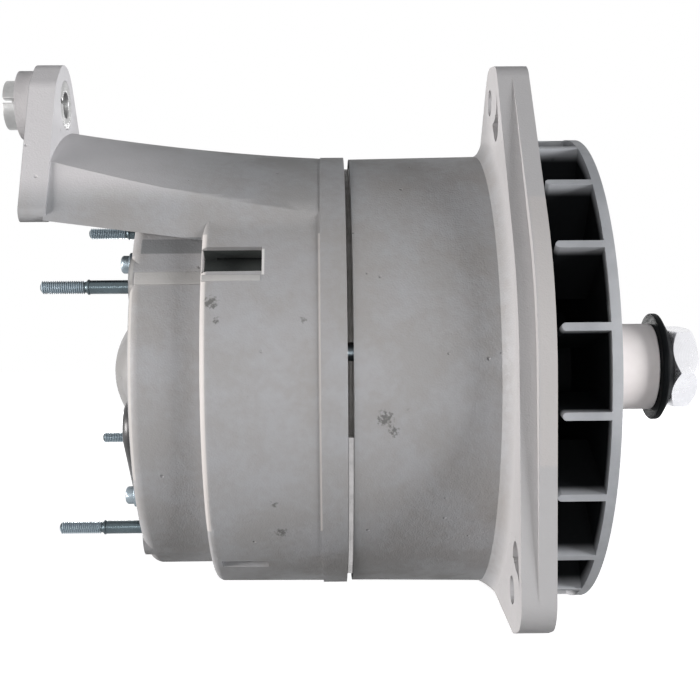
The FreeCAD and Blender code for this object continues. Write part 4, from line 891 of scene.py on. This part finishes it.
@dataclass
class Housings(SubAssembly):
    """Both cast housings, with the soft edges of a die casting."""

    edge: float = 0.5 * MM
    boss_deg: float = 27.64
    boss_half_deg: float = 2.2
    boss_low: float = 17.0 * MM
    boss_high: float = 70.0 * MM
    ribs: tuple[tuple[str, float, float, float, float, float], ...] = (
        ("neck_rib", 19.2 * MM, 44.5 * MM, 81.5 * MM, 25.6, 5.2 * MM),
        ("step_rib", 44.6 * MM, 66.0 * MM, 89.0 * MM, 22.9, 2.5 * MM))

    def build(self) -> None:
        """Round the castings' edges and dress them."""
        drive = Bench.copy_node("drive_end_housing", "drive_end_casting", self.edge)
        self.fit(Bench.even(drive), "cast_aluminium", "drive_end_housing")
        rear = Bench.copy_node("rear_housing", "rear_casting", self.edge)
        Bench.crease(rear, self.boss_deg, self.boss_half_deg, self.boss_low, self.boss_high)
        self.fit(Bench.even(rear), "cast_aluminium", "rear_housing")
        for rib in self.ribs:
            self._rib(*rib)

    def _rib(self, name: str, low: float, high: float, top: float, angle: float, width: float) -> None:
        """Lay a flat rib along the rear housing.

        Args:
            name: Name of the rib.
            low: Station where it starts.
            high: Station where it ends.
            top: Radius of its top face.
            angle: Its place round the shaft, in degrees above the front.
            width: Its width.
        """
        thickness = 3.0 * MM
        Bench.clear()
        bpy.ops.mesh.primitive_cube_add(size=1.0, location=((low + high) / 2, *around(top - thickness / 2, angle)),
                                        rotation=(-math.radians(angle), 0, 0))
        rib = bpy.context.active_object
        rib.name = name
        rib.scale = (high - low, thickness, width)
        bpy.ops.object.transform_apply(location=True, rotation=True, scale=True)
        Bench.bevel(rib, 0.35 * MM, 3)
        # The rib wears the lighter copy of the casting's colour: painted light.
        self.fit(Bench.settle(rib), "cast_aluminium", look="rib_aluminium_painted_light")


@dataclass
class GrooveHighlightStrip(SubAssembly):
    """A bright steel strip in the lower part of the groove between the housings: a painted highlight standing for
    the groove's lit edge.
    """

    radius: float = 88.2 * MM
    depth: float = 2.5 * MM
    gap: float = 0.1 * MM
    first_deg: float = -15.5
    last_deg: float = -68.0

    def build(self) -> None:
        """Spin a small section along the groove."""
        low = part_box("rear_housing")[1].x + self.gap
        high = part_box("drive_end_housing")[0].x - self.gap
        place = ((low + high) / 2, *around(self.radius - self.depth / 2, self.first_deg))
        Bench.clear()
        bpy.ops.mesh.primitive_plane_add(size=1.0, location=place, rotation=(-math.radians(self.first_deg), 0, 0))
        strip = bpy.context.active_object
        strip.name = "groove_highlight_strip"
        strip.scale = (high - low, self.depth, 1.0)
        bpy.ops.object.transform_apply(location=True, rotation=True, scale=True)
        Bench.edit()
        bpy.ops.mesh.spin(steps=40, angle=math.radians(self.last_deg - self.first_deg), center=(0, 0, 0),
                          axis=(1, 0, 0), dupli=False)
        bpy.ops.object.mode_set(mode="OBJECT")
        self.fit(Bench.settle(strip), "bright_steel")


@dataclass
class CoverStuds(SubAssembly):
    """The four long studs that hold the air-intake cover."""

    circle_r: float = 70.2 * MM
    first_deg: float = 27.64
    radius: float = 2.5 * MM
    shank_r: float = 2.6 * MM
    shank_end: float = 16.9 * MM
    collar_r: float = 2.9 * MM
    collar_len: float = 0.8 * MM
    chamfer: float = 0.15 * MM
    thread_len: float = 17.7 * MM
    pitch: float = 0.8 * MM

    def build(self) -> None:
        """Model one stud and its thread, and copy them round the circle."""
        centre = around(self.circle_r, self.first_deg)
        core = self.radius - 0.6 * self.pitch
        tip = -self.thread_len
        body = Bench.lathe("stud_body", [
            (tip, core - 0.8 * MM), (tip + 0.6 * MM, core), (-0.8 * MM, core), (-0.1 * MM, self.radius),
            (0, self.collar_r - self.chamfer), (self.chamfer, self.collar_r),
            (self.collar_len - self.chamfer, self.collar_r), (self.collar_len, self.collar_r - self.chamfer),
            (self.collar_len + 0.1 * MM, self.shank_r), (self.shank_end, self.shank_r)], centre, sides=32)
        ridge = Bench.thread("stud_thread", tip + 0.3 * MM, -0.4 * MM, self.radius, self.pitch, centre)
        # The shanks wear the darker copy of the zinc (painted shade), the threads the lighter copy (painted
        # highlight).
        self.fit(Bench.quarters("cover_stud_set", body), "zinc_steel", "cover_studs", look="zinc_shank_painted_shade")
        self.fit(Bench.quarters("cover_stud_threads", ridge), "zinc_steel", look="zinc_thread_painted_highlight")


@dataclass
class Terminal:
    """Sizes of one threaded terminal.

    Args:
        node: CAD node that the set replaces.
        degrees: Angle about the shaft, from the near side upwards.
        start: Station of the free end.
        end: Station where the thread stops.
        inner: Station of the inner end.
        radius: Outer radius of the thread.
        pitch: Rise for each turn.
    """

    node: str
    degrees: float
    start: float
    end: float
    inner: float
    radius: float
    pitch: float

    def model(self, circle_r: float) -> Piece:
        """Return the threaded stud, modelled at its place."""
        centre = around(circle_r, self.degrees)
        core = self.radius - 0.6 * self.pitch
        body = Bench.lathe("terminal_body", [
            (self.start, core - 0.5 * MM), (self.start + 0.5 * MM, core), (self.end, core), (self.inner, core)],
            centre, sides=32)
        ridge = Bench.thread("terminal_thread", self.start + 0.2 * MM, self.end, self.radius, self.pitch, centre)
        return Bench.join("terminal", [body, ridge])


@dataclass
class RearFittings(SubAssembly):
    """Cap, regulator, terminals and small screws of the rear face."""

    circle_r: float = 50.0 * MM
    head_r: float = 8.0 * MM
    head_end: float = 46.4 * MM
    face: float = 16.8 * MM
    screw_circle_r: float = 64.0 * MM
    screw_first_deg: float = 41.0
    screw_r: float = 3.5 * MM
    socket_r: float = 1.6 * MM
    socket_depth: float = 1.6 * MM
    shank_r: float = 2.5 * MM
    shank_end: float = 47.4 * MM
    pad_r: float = 4.6 * MM
    pad_thk: float = 3.0 * MM
    head_len: float = 3.3 * MM

    def build(self) -> None:
        """Model and fit every piece of the rear face."""
        self._terminals()
        self._screws()
        self.soften("rear_bearing_cap", "dust_cap", "cap_steel", 0.4 * MM, 3)
        self.soften("regulator", "regulator_case", "black_plastic", 0.3 * MM)
        self.soften("brush_holder", "brush_holder_moulding", "black_plastic", 0.2 * MM)
        self.soften("power_nuts", "terminal_nuts", "zinc_steel", 0.3 * MM)
        self.soften("regulator_screws", "regulator_screw_set", "zinc_steel", 0.3 * MM)

    def _terminals(self) -> None:
        """Model the power and signal terminals with their threads."""
        positive = Terminal("positive_stud", 150.0, -1.7 * MM, 12.0 * MM, 42.4 * MM, 4.0 * MM, 1.25 * MM)
        negative = Terminal("negative_stud", 215.0, -1.7 * MM, 15.0 * MM, 25.8 * MM, 4.0 * MM, 1.25 * MM)
        head = Bench.prism("positive_head", positive.inner, self.head_end, self.head_r, 32,
                           around(self.circle_r, positive.degrees))
        stud = Bench.join("positive_terminal_stud", [positive.model(self.circle_r), head])
        self.fit(stud, "stud_brass", positive.node)
        stud = negative.model(self.circle_r)
        stud.name = "negative_terminal_stud"
        self.fit(stud, "zinc_steel", negative.node)
        signals = [Terminal("signal_terminals", degrees, 1.8 * MM, 13.5 * MM, 24.8 * MM, 2.5 * MM, 0.8 * MM)
                   .model(self.circle_r) for degrees in (174.0, 190.0)]
        self.fit(Bench.join("signal_terminal_studs", signals), "stud_brass", "signal_terminals")

    def _screws(self) -> None:
        """Model one rectifier screw with its washer and copy it round."""
        centre = around(self.screw_circle_r, self.screw_first_deg)
        pad = self.face - self.pad_thk
        top = pad - self.head_len
        floor = top + self.socket_depth
        washer = Bench.lathe("screw_washer", [
            (pad, self.pad_r - 0.3 * MM), (pad + 0.3 * MM, self.pad_r),
            (self.face - 0.2 * MM, self.pad_r), (self.face, self.pad_r - 0.2 * MM)], centre, sides=36)
        head = Bench.lathe("screw_head", [
            (floor, 0.9 * MM), (floor, self.socket_r), (top, self.socket_r + 0.15 * MM),
            (top, self.screw_r - 0.8 * MM), (top + 0.35 * MM, self.screw_r - 0.3 * MM),
            (top + 0.9 * MM, self.screw_r), (pad + 0.1 * MM, self.screw_r)], centre, sides=36)
        shank = Bench.prism("screw_shank", self.face - 0.1 * MM, self.shank_end, self.shank_r, 24, centre)
        screw = Bench.join("screw", [washer, head, shank])
        self.fit(Bench.quarters("rectifier_screws", screw), "zinc_steel", "heat_sink_screws")


@dataclass
class SlidingBushing(SubAssembly):
    """The slotted steel bushing of the rear ear."""

    body: str = "bushing"

    def build(self) -> None:
        """Round the bushing's edges and dress it."""
        self.soften("pivot_bushing", "split_bushing", "spring_steel", 0.35 * MM, 3)


@dataclass
class ShaftEnd(SubAssembly):
    """Fan, spacer sleeve, washer and nut on the shaft."""

    body: str = "rotor"

    def build(self) -> None:
        """Round the edges of what shows of the rotor and dress it."""
        fan = Bench.copy_node("cooling_fan", "cast_fan", 0.5 * MM)
        self.fit(Bench.even(fan), "fan_aluminium", "cooling_fan")
        self.soften("spacer_sleeve", "coated_sleeve", "sleeve_coating", 0.6 * MM, 3)
        self.soften("lock_washer", "spring_washer", "black_steel", 0.5 * MM, 3)
        self.soften("pulley_nut", "thin_nut", "bright_zinc", 0.25 * MM)


@dataclass
class PlainNodes:
    """CAD nodes whose shape is right, dressed where they are."""

    paint: Paintwork

    def build(self) -> None:
        """Dress every CAD node by the slot that the record names."""
        slots = {part["node"]: part["material_slot"] for part in frame["record"]["subparts"]}
        for node, piece in frame["nodes"].items():
            self.paint.dress(piece, slots[node])
        LOG.info("dressed %d CAD nodes", len(frame["nodes"]))


@dataclass(frozen=True)
class Lamp:
    """A soft area lamp aimed at the object.

    Args:
        name: Name of the lamp.
        place: Its place.
        size: Its width in metres.
        power: Power in watts.
        colour: Colour of its light.
    """

    name: str
    place: Point
    size: float
    power: float
    colour: Colour = WHITE


@dataclass
class Studio:
    """Camera, lamps, floor and white background.

    Args:
        lens: Focal length in millimetres.
        sensor: Width of the sensor in millimetres.
        yaw: Turn to the left, in radians.
        pitch: Tilt upwards, in radians.
        roll: Roll of the picture, in radians.
        centre: Point that the lamps face.
        lamp_height: Height of the lamps.
        floor_return: Colour of the floor in the light that it returns.
        glow_span: Distances between which the floor's glow rises to white.
        ambient: Colour of the light from all round.
    """

    lens: float = 62.015
    sensor: float = 36.0
    near: float = 0.01
    eye: Point = (0.08997, -0.51874, 0.00687)
    yaw: float = -0.018935
    pitch: float = 0.002523
    roll: float = 0.008946
    centre: Point = (0.09, 0.0, 0.0)
    lamp_height: float = 0.24
    lamps: tuple[Lamp, ...] = (
        Lamp("left_softbox", (-1.6, -0.6, 0.0), 0.7, 52.0, (1.0, 0.965, 0.95)),
        Lamp("right_softbox", (1.7, -0.8, 0.0), 0.8, 38.0, (0.98, 0.985, 1.0)),
        Lamp("front_softbox", (0.1, -1.7, 0.0), 0.8, 7.0),
        Lamp("back_softbox", (0.1, 1.7, 0.1), 0.8, 12.0))
    floor_size: float = 14.0
    floor_gap: float = 0.0005
    floor_tones: tuple[Colour, Colour] = ((0.9, 0.9, 0.9), (0.88, 0.88, 0.885))
    floor_return: Colour = (0.03, 0.03, 0.028)
    glow_span: Span = (0.3, 1.2)
    glow_near: Colour = (0.86, 0.86, 0.86)
    ambient: Colour = (0.04, 0.045, 0.05)

    def build(self) -> None:
        """Set up the whole studio."""
        self._camera()
        for lamp in self.lamps:
            self._lamp(lamp)
        self._floor()
        self._world()
        bpy.context.scene.view_settings.view_transform = "Standard"

    def _camera(self) -> None:
        """Add the camera at the photograph's place and angle."""
        right = Vector((math.cos(self.yaw), math.sin(self.yaw), 0))
        level = Vector((-math.sin(self.yaw), math.cos(self.yaw), 0))
        ahead = level * math.cos(self.pitch) + Vector((0, 0, math.sin(self.pitch)))
        above = -level * math.sin(self.pitch) + Vector((0, 0, math.cos(self.pitch)))
        across = right * math.cos(self.roll) - above * math.sin(self.roll)
        upward = above * math.cos(self.roll) + right * math.sin(self.roll)
        data = bpy.data.cameras.new("camera")
        data.lens = self.lens
        data.sensor_width = self.sensor
        data.clip_start = self.near
        camera = bpy.data.objects.new("camera", data)
        camera.matrix_world = Matrix.Translation(self.eye) @ Matrix((across, upward, -ahead)).transposed().to_4x4()
        bpy.context.scene.collection.objects.link(camera)
        bpy.context.scene.camera = camera

    def _lamp(self, lamp: Lamp) -> None:
        """Add one of the lamps."""
        data = bpy.data.lights.new(lamp.name, "AREA")
        data.shape = "RECTANGLE"
        data.size = lamp.size
        data.size_y = self.lamp_height
        data.energy = lamp.power
        data.color = lamp.colour
        light = bpy.data.objects.new(lamp.name, data)
        light.location = lamp.place
        light.rotation_euler = (Vector(self.centre) - Vector(lamp.place)).to_track_quat("-Z", "Y").to_euler()
        bpy.context.scene.collection.objects.link(light)

    def _floor(self) -> None:
        """Add a pale floor just under the object."""
        Bench.clear()
        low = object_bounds()[0][2]
        bpy.ops.mesh.primitive_plane_add(size=self.floor_size, location=(0, 0, low - self.floor_gap))
        floor = bpy.context.active_object
        floor.name = "floor"
        material = bpy.data.materials.new("floor_paint")
        material.use_nodes = True
        graph = Graph(material.node_tree)
        shader = material.node_tree.nodes["Principled BSDF"]
        seen = graph.seen()
        vector = graph.add("ShaderNodeTexCoord").outputs["Object"]
        pale = graph.blend(graph.step(graph.noise(vector, 30.0), 0.3, 0.7), *self.floor_tones)
        graph.feed(shader.inputs["Base Color"], graph.blend(seen, self.floor_return, pale))
        shader.inputs["Roughness"].default_value = 0.9
        shader.inputs["Specular IOR Level"].default_value = 0.0
        away = graph.vector_math("LENGTH", vector).outputs["Value"]
        glow = graph.blend(graph.step(away, *self.glow_span), self.glow_near, WHITE)
        graph.feed(shader.inputs["Emission Color"], graph.blend(seen, (0.0, 0.0, 0.0), glow))
        shader.inputs["Emission Strength"].default_value = 1.0
        floor.data.materials.append(material)
        floor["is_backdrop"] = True

    def _world(self) -> None:
        """Light the scene softly and show white behind the object."""
        world = bpy.data.worlds.new("studio")
        bpy.context.scene.world = world
        world.use_nodes = True
        graph = Graph(world.node_tree)
        back = world.node_tree.nodes["Background"]
        graph.feed(back.inputs["Color"], graph.blend(graph.seen(), self.ambient, WHITE))
        back.inputs["Strength"].default_value = 1.0


def main() -> None:
    """Build the studio, the finishes and every sub-assembly."""
    logging.basicConfig(level=logging.INFO, format="%(name)s: %(message)s")
    Bench.clear()
    Studio().build()
    paint = Paintwork()
    paint.build()
    PlainNodes(paint).build()
    for assembly in (Housings, GrooveHighlightStrip, CoverStuds, RearFittings, SlidingBushing, ShaftEnd):
        assembly(paint).build()


if __name__ == "__main__":
    main()
